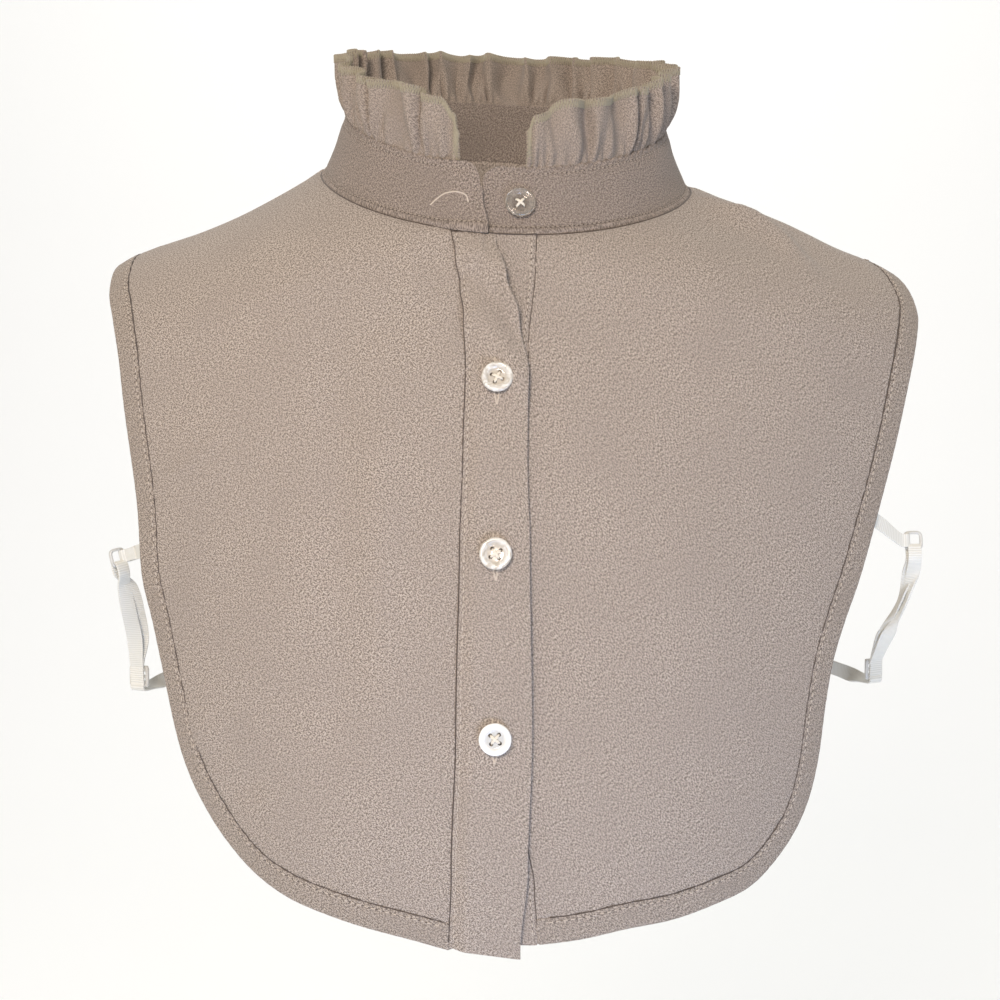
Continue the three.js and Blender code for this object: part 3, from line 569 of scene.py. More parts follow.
def cloth(name, columns, rows, place, relief, thick, material, rounding=0.0):
    """Lays a grid of cloth. place gives a point and its spot on the pattern, in mm."""
    bm = bmesh.new()
    bmesh.ops.create_grid(bm, x_segments=columns, y_segments=rows, size=0.5)
    layer = bm.loops.layers.uv.new("Cloth")
    shares = [(vert.co.x + 0.5, vert.co.y + 0.5) for vert in bm.verts]
    flats = []
    for vert, (u, v) in zip(bm.verts, shares):
        spot, flat = place(u, v)
        vert.co = spot * MM
        flats.append(flat * MM)
    bm.verts.index_update()
    for face in bm.faces:
        for loop in face.loops:
            loop[layer].uv = flats[loop.vert.index]
    bm.normal_update()
    off_centre = [abs(u - 0.5) + abs(v - 0.5) for u, v in shares]
    middle = min(bm.verts, key=lambda vert: off_centre[vert.index])
    if middle.normal.dot(middle.co - CORE * MM) < 0:
        bmesh.ops.reverse_faces(bm, faces=bm.faces)
        bm.normal_update()
    moves = [
        vert.normal * relief(u, v, flat / MM) * MM
        for vert, (u, v), flat in zip(bm.verts, shares, flats)
    ]
    for vert, move in zip(bm.verts, moves):
        vert.co += move
    area = sum(face.calc_area() for face in bm.faces)
    obj = new_object(name, bm, material)
    wall = obj.modifiers.new("Thickness", "SOLIDIFY")
    wall.thickness = thick * MM
    wall.offset = 0
    if rounding:
        bevel = obj.modifiers.new("Rounded edge", "BEVEL")
        bevel.width = rounding * MM
        bevel.segments = 3
        bevel.limit_method = "ANGLE"
        bevel.angle_limit = math.radians(50)
        bevel.harden_normals = False
    print(name, "cloth area", round(area, 4), "m2")
    return obj


def lifted(place, relief):
    """A function that gives a point of the cloth's surface and its normal, raised by lift."""

    def raw(u, v):
        step = 1e-3
        u, v = min(max(u, step), 1 - step), min(max(v, step), 1 - step)
        across = place(u + step, v)[0] - place(u - step, v)[0]
        along = place(u, v + step)[0] - place(u, v - step)[0]
        return across.cross(along).normalized()

    middle, _ = place(0.5, 0.5)
    sign = -1 if raw(0.5, 0.5).dot(middle - CORE) < 0 else 1

    def at(u, v, lift=0.0):
        spot, flat = place(u, v)
        normal = raw(u, v) * sign
        return spot + normal * (relief(u, v, flat) + lift), normal

    return at


# %% [markdown]
# ## Creases and puckers
# A worn bib is never smooth. Broad soft waves come from the body under it, a few sharper
# creases from how it was folded and pulled, and close beside every seam the thread draws the
# cloth up into tiny puckers.

# %% Waves, creases and puckers
# Each crease: height, half width, its upper side's width as a share, and its line as (x, run)
CREASES = [
    (3.0, 7.0, 0.5, [(78, 17), (90, 20), (98, 22), (108, 29), (114, 37), (126, 48)]),
    (-1.4, 4.0, 1, [(82, 10), (94, 12), (105, 13), (115, 19), (124, 28)]),
    (0.7, 1.6, 0.6, [(76, 13), (91, 16)]),
    (0.7, 1.5, 0.6, [(104, 22), (121, 20)]),
    (0.55, 1.9, 1, [(-132, 122), (-118, 120), (-108, 116), (-101, 110)]),
    (-0.7, 6.0, 1, [(-47, 78), (-45, 105), (-41, 135)]),
    (0.8, 5.0, 1, [(-37, 56), (-33, 76), (-30, 92)]),
    (-1.1, 7.0, 1, [(-108, 218), (-96, 236), (-84, 251)]),
    (0.7, 6.0, 1, [(-118, 206), (-104, 226), (-90, 243)]),
]
# The creases of the button strip, where it swings out from under the collar
STRIP_CREASES = [
    (2.3, 5.5, 1, [(-26, 60), (-9, 77), (3, 91), (16, 107)]),
    (-0.8, 3.0, 1, [(-24, 73), (-9, 89), (3, 103), (16, 118)]),
    (2.3, 5.5, 1, [(-22, 90), (-8, 104), (4, 118), (16, 133)]),
]


def crease_lift(x, run, creases=CREASES):
    total = 0.0
    for height, half, steep, line in creases:
        best, where, above = 1e9, 0.0, False
        for k, ((ax, ar), (bx, br)) in enumerate(zip(line, line[1:])):
            dx, dr = bx - ax, br - ar
            t = min(max(((x - ax) * dx + (run - ar) * dr) / (dx * dx + dr * dr), 0), 1)
            far = math.hypot(x - ax - dx * t, run - ar - dr * t)
            if far < best:
                best, where = far, (k + t) / (len(line) - 1)
                above = dx * (run - ar) < dr * (x - ax)
        if above:
            best /= steep
        if best < half * 3:
            total += height * math.exp(-((best / half) ** 2)) * ease(0, 0.3, where) * ease(0, 0.3, 1 - where)
    return total


def waves(x, run, size=1.0):
    soft = noise.noise(Vector((x / 46, run / 60, 3.1))) * 0.9
    fine = noise.noise(Vector((x / 15, run / 19, 7.7))) * 0.22
    return (soft + fine) * size


def pucker(along, away, reach=5.0, height=0.16, pitch=5.5):
    """Small ripples beside a seam, along it and fading away from it."""
    beat = along / pitch + 0.6 * noise.noise(Vector((along / 23, 0, 1.7)))
    return height * math.sin(beat * math.tau) * math.exp(-away / reach)


def sink_under(away, under, depth=0.85):
    """Lowers the hidden edge of a panel, away mm from its own edge, under a strip."""
    return -depth * (1 - ease(under - 0.6, under + 0.35, away))


# %% [markdown]
# ## The three panels
# Each front fills the space between the neck, the shoulder seam, the hem and the button strip,
# and the back does the same behind. Their edges go a little way under the strips that are sewn
# on them, so each seam reads as a fine dark line, as on the real blouse.

# %% The panel surface
UNDER_HEM = 1.8
UNDER_STRIP = 2.0
TUCK = -0.8


def crowd(value, ends, width):
    """Moves the grid's lines together near its ends, where the seams need finer steps."""
    low, high = ends
    if low and value < 0.08:
        return width * (value / 0.08) ** 1.6
    if high and value > 0.92:
        return 1 - width * ((1 - value) / 0.08) ** 1.6
    start, end = (0.08, width) if low else (0, 0)
    stop, last = (0.92, 1 - width) if high else (1, 1)
    return end + (last - end) * (value - start) / (stop - start)


def panel(neck_turn, near_line, edge, far_line, body_seam):
    @lru_cache(maxsize=None)
    def column(u):
        turn = neck_turn(u)
        neck = neck_on_drape(turn)
        seat = neck_point(turn) - drape(neck.x, neck.y)
        seat.z -= TUCK
        return neck, edge(u), seat

    @lru_cache(maxsize=None)
    def row(v):
        near = near_line(v) - near_line(0) * (1 - v) - near_line(1) * v
        far = far_line(v) - far_line(0) * (1 - v) - far_line(1) * v
        return near, far

    def shares(u, v):
        wide = crowd(u, (True, True), 0.03)
        neck, outer, _ = column(wide)
        length = (outer - neck).length
        rim = 3.4 / length
        down = v / 0.92 * (1 - rim) if v < 0.92 else 1 - rim + (v - 0.92) / 0.08 * rim
        return wide, min(down, 1.0), length

    def place(u, v):
        wide, down, _ = shares(u, v)
        neck, outer, seat = column(wide)
        near, far = row(down)
        flat = neck * (1 - down) + outer * down + near * (1 - wide) + far * wide
        spot = drape(flat.x, flat.y) + seat * (1 - down) ** 2.5
        return spot, flat

    def relief(u, v, flat):
        _, down, length = shares(u, v)
        outer_gap = (1 - down) * length
        lift = waves(flat.x, flat.y) * ease(0, 25, outer_gap) * ease(0, 20, down * length)
        lift += crease_lift(flat.x, flat.y)
        lift += sink_under(outer_gap, UNDER_HEM) - 0.9 * (1 - ease(1, 4, down * length))
        lift += pucker(flat.x + flat.y, abs(outer_gap - UNDER_HEM)) * ease(0, 2, outer_gap)
        return lift + body_seam(flat)

    return place, relief


def front_panel(side, curve, inner_x):
    seam_turn = turn_at_run(FRONT_SEAM)
    start_turn = turn_at_x(inner_x(neck_on_drape(0).y))
    end_turn = seam_turn if side < 0 else -seam_turn
    margin = HEM_WIDTH - UNDER_HEM
    start = neck_on_drape(start_turn)
    last = inset(curve, 1, margin, side)
    last.x = inner_x(last.y)
    tip = Vector((inset(curve, 0, margin, side).x, FRONT_SEAM))
    collar_end = Vector((neck_on_drape(end_turn).x, FRONT_SEAM))

    def edge(u):
        if u <= 0:
            return last
        return tip if u >= 1 else inset(curve, 1 - u, margin, side)

    def near(v):
        run = start.y + (last.y - start.y) * v
        return Vector((inner_x(run), run))

    def seams(flat):
        away = abs(flat.x - inner_x(flat.y))
        ripple = pucker(flat.y, abs(away - UNDER_STRIP)) * ease(0, 2, away)
        return sink_under(away, UNDER_STRIP) + ripple

    turn = lambda u: start_turn + (end_turn - start_turn) * u
    return panel(turn, near, edge, lambda v: collar_end.lerp(tip, v), seams)


def back_panel():
    seam_turn = turn_at_run(REAR_SEAM)
    left = rear_edge(-1, LEFT_EDGE, REAR_SEAM)
    right = rear_edge(1, RIGHT_EDGE, REAR_SEAM)
    margin = HEM_WIDTH - UNDER_HEM
    tips = [
        Vector((inset(line, 1, margin, side).x, REAR_SEAM)) for line, side in ((left, -1), (right, 1))
    ]
    collar_ends = [Vector((neck_on_drape(t).x, REAR_SEAM)) for t in (seam_turn, 1 - seam_turn)]

    def edge(u):
        if u <= 0 or u >= 1:
            return tips[0 if u <= 0 else 1]
        return inset(left, 1 - 2 * u, margin, -1) if u < 0.5 else inset(right, 2 * u - 1, margin, 1)

    turn = lambda u: seam_turn + (1 - 2 * seam_turn) * u
    return panel(
        turn,
        lambda v: collar_ends[0].lerp(tips[0], v),
        edge,
        lambda v: collar_ends[1].lerp(tips[1], v),
        lambda flat: sink_under(REAR_SEAM - flat.y, 1.8),
    )


# %% [markdown]
# Now the three panels are laid with that surface. Each line that is printed gives the area of
# its cloth, which can be held against the pattern.

# %% Lay the three panels
left_seam = lambda run: placket_x(run, SEAM) + UNDER_STRIP
right_seam = lambda run: under_seam(run) - UNDER_STRIP
left_place, left_relief = front_panel(-1, left_curve, left_seam)
right_place, right_relief = front_panel(1, right_curve, right_seam)
rear_place, rear_relief = back_panel()
front_left = cloth("bib_front_left", 130, 170, left_place, left_relief, 0.8, crepe_panel)
front_right = cloth("bib_front_right", 130, 170, right_place, right_relief, 0.8, crepe_panel)
back = cloth("bib_back", 170, 150, rear_place, rear_relief, 0.8, crepe_panel)
finish_piece(front_left, ["front_panel"])
finish_piece(front_right, ["front_panel_under"])
finish_piece(back, ["back_panel"])

# %% [markdown]
# ## The hems
# A narrow strip is sewn along the outer edge, folded to the inside and stitched down 1.6 mm
# from the seam. It is a grid that follows the edge: one way along it, the other across it.


# %% Hem strips
HEM_LEVEL = 0.2


def hem_relief(length, seam_gap):
    def relief(u, v, flat):
        across = v * HEM_WIDTH
        along = u * length
        lift = HEM_LEVEL + pucker(along, HEM_WIDTH - across, 6, 0.16, 5.5)
        lift += 0.35 * noise.noise(Vector((along / 38, across / 30, 5.5))) * (1 - v)
        lift -= 0.16 * math.exp(-(((across - HEM_WIDTH + 1.6) / 0.7) ** 2))
        lift -= 0.3 * (1 - ease(0, 1.2, across)) + 0.35 * (1 - ease(0, 0.8, HEM_WIDTH - across))
        return lift - 1.2 * (1 - ease(1.6, 2.6, seam_gap(flat)))

    return relief


def front_hem(side, curve, inner_x):
    @lru_cache(maxsize=None)
    def flat_at(u, v):
        flat = inset(curve, u, v * HEM_WIDTH, side)
        if u <= 0:
            flat.y = FRONT_SEAM
        if u >= 1:
            flat.x = inner_x(flat.y)
        return flat

    def place(u, v):
        flat = flat_at(u, v)
        return drape(flat.x, flat.y), flat

    return place, hem_relief(curve.length, lambda flat: abs(flat.x - inner_x(flat.y)))


def rear_hem():
    left = rear_edge(-1, LEFT_EDGE, REAR_SEAM)
    right = rear_edge(1, RIGHT_EDGE, REAR_SEAM)

    def place(u, v):
        on_left = u < 0.5
        share = 1 - 2 * u if on_left else 2 * u - 1
        flat = inset(left if on_left else right, share, v * HEM_WIDTH, -1 if on_left else 1)
        if u <= 0 or u >= 1:
            flat.y = REAR_SEAM
        if abs(share) < 1e-6:
            flat.x = 0
        return drape(flat.x, flat.y), flat

    return place, hem_relief(left.length * 2, lambda flat: abs(REAR_SEAM - flat.y) + 0.3)


hem_left_place, hem_left_relief = front_hem(-1, left_curve, left_seam)
hem_right_place, hem_right_relief = front_hem(1, right_curve, right_seam)
hem_back_place, hem_back_relief = rear_hem()
hem_left = cloth("hem_front_left", 560, 14, hem_left_place, hem_left_relief, 1.1, crepe_hem, 0.4)
hem_right = cloth("hem_front_right", 560, 14, hem_right_place, hem_right_relief, 1.1, crepe_hem, 0.4)
hem_back = cloth("hem_rear", 800, 12, hem_back_place, hem_back_relief, 1.1, crepe_hem, 0.4)
finish_piece(hem_left, ["hem_left"])
finish_piece(hem_right, ["hem_right"])
finish_piece(hem_back, ["hem_back"])

# %% [markdown]
# ## The button strips
# The lapping strip is a band of cloth folded double and sewn to the left front. Its seam lies
# nearly level with the front, and its free edge stands over the strip below, so it casts the
# fine shadow down the middle. Near the collar the edge swings aside and shows the lower strip.


# %% Button strips
def strip_point(x, run):
    turn = turn_at_x(x)
    neck = neck_on_drape(turn)
    seat = neck_point(turn) - drape(neck.x, neck.y)
    seat.z -= TUCK
    v = min(max((run - neck.y) / (FRONT_DROP * PLACKET_END - neck.y), 0), 1)
    return drape(x, run) + seat * (1 - v) ** 2.5


def strip(left_x, right_x, end, slant=0.0):
    """A strip from the collar to its lower edge, which is cut level with its seam's end."""
    level, seam_end = neck_on_drape(0).y, end * FRONT_DROP
    seam_reach = max(abs(left_x(seam_end)), abs(right_x(seam_end)))

    def runs(v):
        top_x = left_x(level) * (1 - v) + right_x(level) * v
        end_x = left_x(seam_end) * (1 - v) + right_x(seam_end) * v
        top = neck_on_drape(turn_at_x(top_x)).y
        return top, seam_end + SHOULDER_FALL * (seam_reach - abs(end_x)) + slant * (v - 0.65)

    def place(u, v):
        top, last = runs(v)
        run = top + (last - top) * u
        x = left_x(run) * (1 - v) + right_x(run) * v
        return strip_point(x, run), Vector((x, run))

    place.runs = runs
    return place


lapping_place = strip(lambda run: placket_x(run, SEAM), lambda run: placket_x(run, EDGE), PLACKET_END, 3.2)
lapped_place = strip(lambda run: PLACKET_WIDTH * UNDER_REACH, under_seam, UNDER_END)


STRIP_LONG = 260


def lapping_relief(u, v, flat):
    """The strip rises from its seam to its free edge, and lies flat under the collar."""
    from_seam = flat.x - placket_x(flat.y, SEAM)
    from_edge = placket_x(flat.y, EDGE) - flat.x
    down = u * STRIP_LONG
    free = 0.35 + 0.65 * ease(0, 14, down)
    lift = -0.1 - 0.6 * (1 - ease(1, 5, down)) + 2.0 * ease(0.2, 6.5, from_seam) * free
    lift += 0.6 * noise.noise(Vector((flat.x / 22, flat.y / 34, 9.2))) * ease(0, 6, from_seam)
    swing = 1.5 * math.exp(-(((flat.y - 82) / 20) ** 2)) * ease(5, 22, from_seam)
    lift += (crease_lift(flat.x, flat.y, STRIP_CREASES) + swing) * ease(2, 18, down)
    lift += pucker(flat.y, from_seam, 3.5, 0.16, 5.2)
    lift -= 0.2 * math.exp(-(((from_seam - 1.5) / 0.6) ** 2))
    return lift - 0.15 * (1 - ease(0, 1.3, from_edge))


def lapped_relief(u, v, flat):
    from_seam = under_seam(flat.y) - flat.x
    lift = -0.3 + 0.35 * (1 - ease(1, 5, from_seam)) - 0.35 * (1 - ease(0, 0.7, from_seam))
    lift += pucker(flat.y, from_seam, 3.5, 0.12, 5.2)
    return lift - 0.15 * math.exp(-(((from_seam - 1.5) / 0.7) ** 2))


placket = cloth("button_strip", 300, 26, lapping_place, lapping_relief, 1.3, crepe_panel, 0.45)
under_placket = cloth("button_strip_under", 260, 22, lapped_place, lapped_relief, 1.2, crepe_panel, 0.4)
finish_piece(placket, ["placket"])
finish_piece(under_placket, ["under_placket"])

# %% [markdown]
# ## The stand collar
# The band is two layers of crepe with a stiff layer between them, so it keeps a smooth curve.
# Its seams are turned inside and stitched 2.5 mm from the edge, which leaves a soft roll
# outside the stitches. The left end laps over the right one.

# %% Collar band
BAND_ENDS = [(0, 0.0106, 1.0185), (0.55, 0.0165, 1.0178), (0.8, 0.0205, 1.0172), (1, 0.0225, 1.0165)]
BAND_CORNER = 5.5
BAND_LENGTH = 430
BAND_ROLL = 1.3
BAND_HIGH = BAND_RISE + BAND_ROLL


def band_ends(v):
    """The turns of both ends at a height. Their upper corners are rounded."""
    high = max(0.0, 1 - (1 - v) * BAND_HIGH / BAND_CORNER)
    cut = BAND_CORNER * (1 - math.sqrt(1 - min(high, 1) ** 2)) / BAND_LENGTH
    return read_table(BAND_ENDS, 1, v) + cut * 0.7, read_table(BAND_ENDS, 2, v) - cut


def band_turn(u, v):
    left, right = band_ends(v)
    return left + (right - left) * u


def band_level(u):
    return BAND_LAP * ease(0, 1, 1 - u / LAP_REACH)


def band_place(u, v):
    turn = band_turn(u, v)
    return neck_point(turn, v * BAND_HIGH - BAND_ROLL), Vector((turn * BAND_LENGTH, v * BAND_HIGH))


def band_relief(u, v, flat):
    rise = v * BAND_HIGH
    along = u * BAND_LENGTH
    edges = min(rise, BAND_HIGH - rise, along, BAND_LENGTH * (1 - u))
    lift = band_level(u) + 0.55 * (1 - ease(1.2, 2.2, rise))
    lift += 0.9 * noise.noise(Vector((along / 34, rise / 16, 2.2))) * ease(0, 6, edges)
    lift += 0.3 * noise.noise(Vector((along / 9, rise / 11, 6.4))) * ease(0, 5, edges)
    lift += pucker(along, rise, 4, 0.16, 4.6) + pucker(along + 3, BAND_HIGH - rise, 4, 0.18, 4.2)
    return lift - 0.22 * math.exp(-(((edges - 2.5) / 0.8) ** 2))


band = cloth("stand_collar", 460, 64, band_place, band_relief, 1.8, crepe_band, 0.6)
finish_piece(band, ["collar_band"])

# %% [markdown]
# ## The gathered frill
# A strip a third longer than the neckline is drawn up on a thread and sewn into the top of
# the band. Small tight puckers start at the seam and run together into fewer, softer folds
# towards the free edge. The surface below is a wave across the strip that grows with height.

# %% Frill
FRILL_LINE = [
    (0, 0.4, 0.0, 0.1), (0.008, 0.68, 0.02, 0.3), (0.022, 0.9, 0.03, 0.6), (0.05, 0.95, 0.04, 0.9),
    (0.12, 0.88, 0.06, 1.1),
    (0.22, 0.88, 0.1, 1.1), (0.35, 0.8, 0.22, 1), (0.5, 0.8, 0.2, 1), (0.68, 0.88, 0.18, 1),
    (0.8, 0.95, 0.06, 1.1), (0.9, 0.92, 0.04, 1), (0.96, 0.9, 0.03, 0.8), (0.99, 0.75, 0.02, 0.4),
    (1, 0.52, 0, 0.2),
]  # fmt: skip
TALL, FLARE, DEEP = 1, 2, 3
RIM_RISE = 0.9 * math.sin(math.atan2(BAND_TAPER, BAND_RISE))
FRILL_LENGTH = 640


def fold_phase(along):
    turn = along * math.tau
    return FRILL_FOLDS * turn + 1.6 * math.sin(7 * turn) + 1.1 * math.sin(17 * turn + 1)


def frill_place(u, v):
    turn = FRILL_START + (FRILL_END - FRILL_START) * u
    seat = neck_point(turn, BAND_RISE)
    angle = turn * math.tau
    out = Vector((-math.sin(angle), -math.cos(angle), 0))
    around = Vector((-math.cos(angle), math.sin(angle), 0))
    height = FRILL_HEIGHT * read_table(FRILL_LINE, TALL, u)
    deep = FOLD_DEPTH * read_table(FRILL_LINE, DEEP, u)
    phase = fold_phase(u)
    drift = 1.3 * noise.noise(Vector((u * 31, v * 1.4, 8.8)))
    seat.z += -1.2 + (1.5 + RIM_RISE + height * (1 + 0.03 * math.cos(phase / 3))) * v
    broad = 1.3 * deep * math.cos(phase * 0.74 + drift * v) * ease(-0.1, 0.9, v)
    middle = 0.62 * deep * math.cos(phase * 1.15 + 2 * drift) * (1 - 0.65 * ease(0.3, 1, v)) * ease(0, 0.3, v)
    tight = 1.15 * math.cos(phase * 2.3 + 3 * drift) * math.exp(-3.6 * v) * ease(0.05, 0.14, v)
    belly = 1.2 * math.sin(math.pi * v) ** 2
    flare = read_table(FRILL_LINE, FLARE, u) * height * v**1.6
    seat += out * (flare + broad + middle + tight + belly + band_level(turn - BAND_ENDS[0][1]))
    seat += around * 0.6 * deep * math.sin(phase * 0.74 + 0.9 + drift * v) * v
    return seat, Vector((u * FRILL_LENGTH, v * height))


def frill_relief(u, v, flat):
    return 1.1 * noise.noise(Vector((flat.x / 13, flat.y / 15, 4.4))) * ease(0.1, 0.5, v)


frill = cloth("gathered_frill", 1150, 30, frill_place, frill_relief, 0.7, crepe_frill, 0.2)
finish_piece(frill, ["frill"])

# %% [markdown]
# ## Threads
# A row of stitches is a chain of short threads that dive into the cloth at both ends. Each is
# a curve with a round section, which Blender turns into a tube, and a whole row becomes one
# mesh. The hems have about four stitches to a centimetre, and the collar has five.


# %% Thread helpers
def threads(name, paths, radius, material):
    curve = bpy.data.curves.new(name, "CURVE")
    curve.dimensions = "3D"
    curve.bevel_depth = radius * MM
    curve.bevel_resolution = 1
    curve.use_fill_caps = True
    for path in paths:
        spline = curve.splines.new("POLY")
        spline.points.add(len(path) - 1)
        for point, spot in zip(spline.points, path):
            point.co = (*(spot * MM), 1)
    holder = bpy.data.objects.new(name, curve)
    mesh = bpy.data.meshes.new_from_object(holder)
    bpy.data.objects.remove(holder)
    mesh.name = name
    mesh.materials.append(material)
    obj = bpy.data.objects.new(name, mesh)
    bpy.context.scene.collection.objects.link(obj)
    print(name, len(paths), "threads", len(mesh.polygons), "faces")
    return obj


def stitch_row(surface, line, lift, length=1.8, space=0.85, samples=900, holes=None):
    """Stitches along a line of (u, v) on a surface."""
    spots = [surface(*line(k / samples), lift) for k in range(samples + 1)]
    walked = walk([spot for spot, _ in spots])

    def at(distance, height):
        i, share = step_at(walked, distance)
        return spots[i][0].lerp(spots[i + 1][0], share) + spots[i][1] * height

    paths = []
    count = int(walked[-1] / (length + space))
    for k in range(count):
        start = k * (length + space) + space / 2
        heights = ((0, -0.28), (0.15, 0.04), (0.5, 0.1), (0.85, 0.04), (1, -0.28))
        paths.append([at(start + length * share, height) for share, height in heights])
        # holes gathers a short dark thread before each stitch, painted shade for its needle hole.
        if holes is not None:
            dip = ((-0.1, -0.1), (0.5, -0.04), (1.1, -0.1))
            holes.append([at(start - space * share, height) for share, height in dip])
    return paths


# %% [markdown]
# The rows of topstitching run beside each seam: outside the hem's seam, beside the button
# strips' seams, and all round the collar band, in a thread that matches it. A short dark
# thread between two stitches is painted shade, standing for the shade in each needle hole.

# %% Topstitching
hem_left_at = lifted(hem_left_place, hem_left_relief)
hem_right_at = lifted(hem_right_place, hem_right_relief)
hem_back_at = lifted(hem_back_place, hem_back_relief)
lapping_at = lifted(lapping_place, lapping_relief)
lapped_at = lifted(lapped_place, lapped_relief)
band_at = lifted(band_place, band_relief)
HEM_STITCH = 1 - 1.6 / HEM_WIDTH
BAND_STITCH = 2.5 / BAND_HIGH
END_STITCH = 2.4 / BAND_LENGTH


def beside_seam(off):
    """The line down the lapping strip that lies off mm from its seam."""

    def line(u):
        run = lapping_place(u, 0)[1].y
        wide = placket_x(run, EDGE) - placket_x(run, SEAM)
        return u, off / wide

    return line


seam_row = beside_seam(1.5)
pits = []
rows = [
    stitch_row(hem_left_at, lambda s: (0.002 + 0.99 * s, HEM_STITCH), 0.55, holes=pits),
    stitch_row(hem_right_at, lambda s: (0.002 + 0.99 * s, HEM_STITCH), 0.55, holes=pits),
    stitch_row(hem_back_at, lambda s: (0.002 + 0.996 * s, HEM_STITCH), 0.55, holes=pits),
    stitch_row(lapping_at, lambda s: seam_row(0.01 + 0.98 * s), 0.66, holes=pits),
    stitch_row(lapped_at, lambda s: (0.01 + 0.98 * s, 1 - 1.5 / 23), 0.6, holes=pits),
]  # fmt: skip
band_line = lambda v: lambda s: (END_STITCH + (1 - 2 * END_STITCH) * s, v)
end_line = lambda u: lambda s: (u, BAND_STITCH + (1 - 2 * BAND_STITCH) * s)
band_rows = [
    stitch_row(band_at, band_line(BAND_STITCH), 1.06, 1.25, 0.6, 900, pits),
    stitch_row(band_at, band_line(1 - BAND_STITCH), 0.95, 1.25, 0.6, 900, pits),
    stitch_row(band_at, end_line(END_STITCH), 1.0, 1.25, 0.6, 60, pits),
    stitch_row(band_at, end_line(1 - END_STITCH), 1.0, 1.25, 0.6, 60, pits),
]
topstitching = threads("topstitching", sum(rows, []), 0.17, top_thread)
finish_piece(topstitching, [])
band_stitching = threads("collar_stitching", sum(band_rows, []), 0.15, matched_thread)
finish_piece(band_stitching, [])
# Painted shade: short dark threads in the needle holes between stitches.
needle_hole_shade = threads("needle_hole_shade", pits, 0.19, shaded_thread)
finish_piece(needle_hole_shade, [])

# %% [markdown]
# ## Seam lines
# Where two pieces are joined, the cloth rolls down into the seam on both sides and leaves a
# groove as fine as a pencil line, with the joining thread in it, in the shade. That shade is
# painted: each seam gets one long thin dark thread, laid high enough in the groove to be seen.


# %% Painted seam shade
# A line of painted shade along a seam's groove, with a slight wobble in its depth.
def painted_seam_shade(surface, line, lift, samples=500):
    path = []
    for k in range(samples + 1):
        u, v = line(k / samples)
        depth = 0.1 * noise.noise(Vector((k * 0.07, 0, 6.1)))
        path.append(surface(u, v, lift(u) + depth)[0])
    return path


def below_neck(place, distance):
    """A line along a panel's neck edge, this many mm down the cloth from it."""

    def line(share):
        u = 0.002 + 0.996 * share
        step = (place(u, 0.05)[1] - place(u, 0)[1]).length
        return u, 0.05 * distance / step

    return line


seams = [
    painted_seam_shade(hem_left_at, lambda s: (0.002 + 0.985 * s, 1.014), lambda u: 0.64),
    painted_seam_shade(hem_right_at, lambda s: (0.002 + 0.985 * s, 1.014), lambda u: 0.64),
    painted_seam_shade(hem_back_at, lambda s: (0.002 + 0.996 * s, 1.014), lambda u: 0.64, 700),
    painted_seam_shade(lapping_at, lambda s: (0.006 + 0.985 * s, -0.008), lambda u: 0.6),
    painted_seam_shade(lapped_at, lambda s: (0.01 + 0.97 * s, 1.01), lambda u: 0.68),
]
# Painted shade: dark threads along the seams of the hems and the button strips.
seam_shade_lines = threads("seam_shade_threads", seams, 0.18, shaded_thread)
finish_piece(seam_shade_lines, [])
neck_seam = [
    painted_seam_shade(lifted(place, relief), below_neck(place, 2.0), lambda u: 0.5, 400)
    for place, relief in ((left_place, left_relief), (right_place, right_relief), (rear_place, rear_relief))
]
neck_seam += [painted_seam_shade(at, lambda s: (0.0085, s), lambda u: 0.76, 60) for at in (lapping_at, lapped_at)]
# Painted shade: a thicker dark thread along the seam under the collar band.
neck_shade_line = threads("neck_seam_shade_thread", neck_seam, 0.3, shaded_thread)
finish_piece(neck_shade_line, [])

# %% [markdown]
# ## The overlocked edge of the frill
# The frill is not hemmed. An overlock machine trims its edge and wraps it with looped threads
# in one go: they zigzag over a band nearly 3 mm wide on both faces. Each zigzag is drawn as
# two threads, from the edge to the needle line and back.

# %% Overlock threads
frill_at = lifted(frill_place, frill_relief)
OVERLOCK_WIDE = 2.8


def frill_edge(share):
    """Walks the free edge: up the left end, along the top and down the right end."""
    side = 0.018
    if share < side:
        return 0.0, 0.05 + 0.95 * share / side
    if share > 1 - side:
        return 1.0, 0.05 + 0.95 * (1 - share) / side
    return (share - side) / (1 - 2 * side), 1.0


def edge_inward(share, distance):
    """The place on the frill that lies this far in from its edge, as (u, v)."""
    u, v = frill_edge(share)
    height = FRILL_HEIGHT * read_table(FRILL_LINE, TALL, u)
    if v >= 1:
        near_end = min(u, 1 - u) * FRILL_LENGTH
        turn_in = 0.0 if near_end > 4 else (4 - near_end) / 4 * distance * 0.7
        shift = turn_in / FRILL_LENGTH * (1 if u < 0.5 else -1)
        return u + shift, 1 - distance / height
    return u + distance / FRILL_LENGTH * 1.45 * (1 if u < 0.5 else -1), min(v, 1 - 0.6 * distance / height)


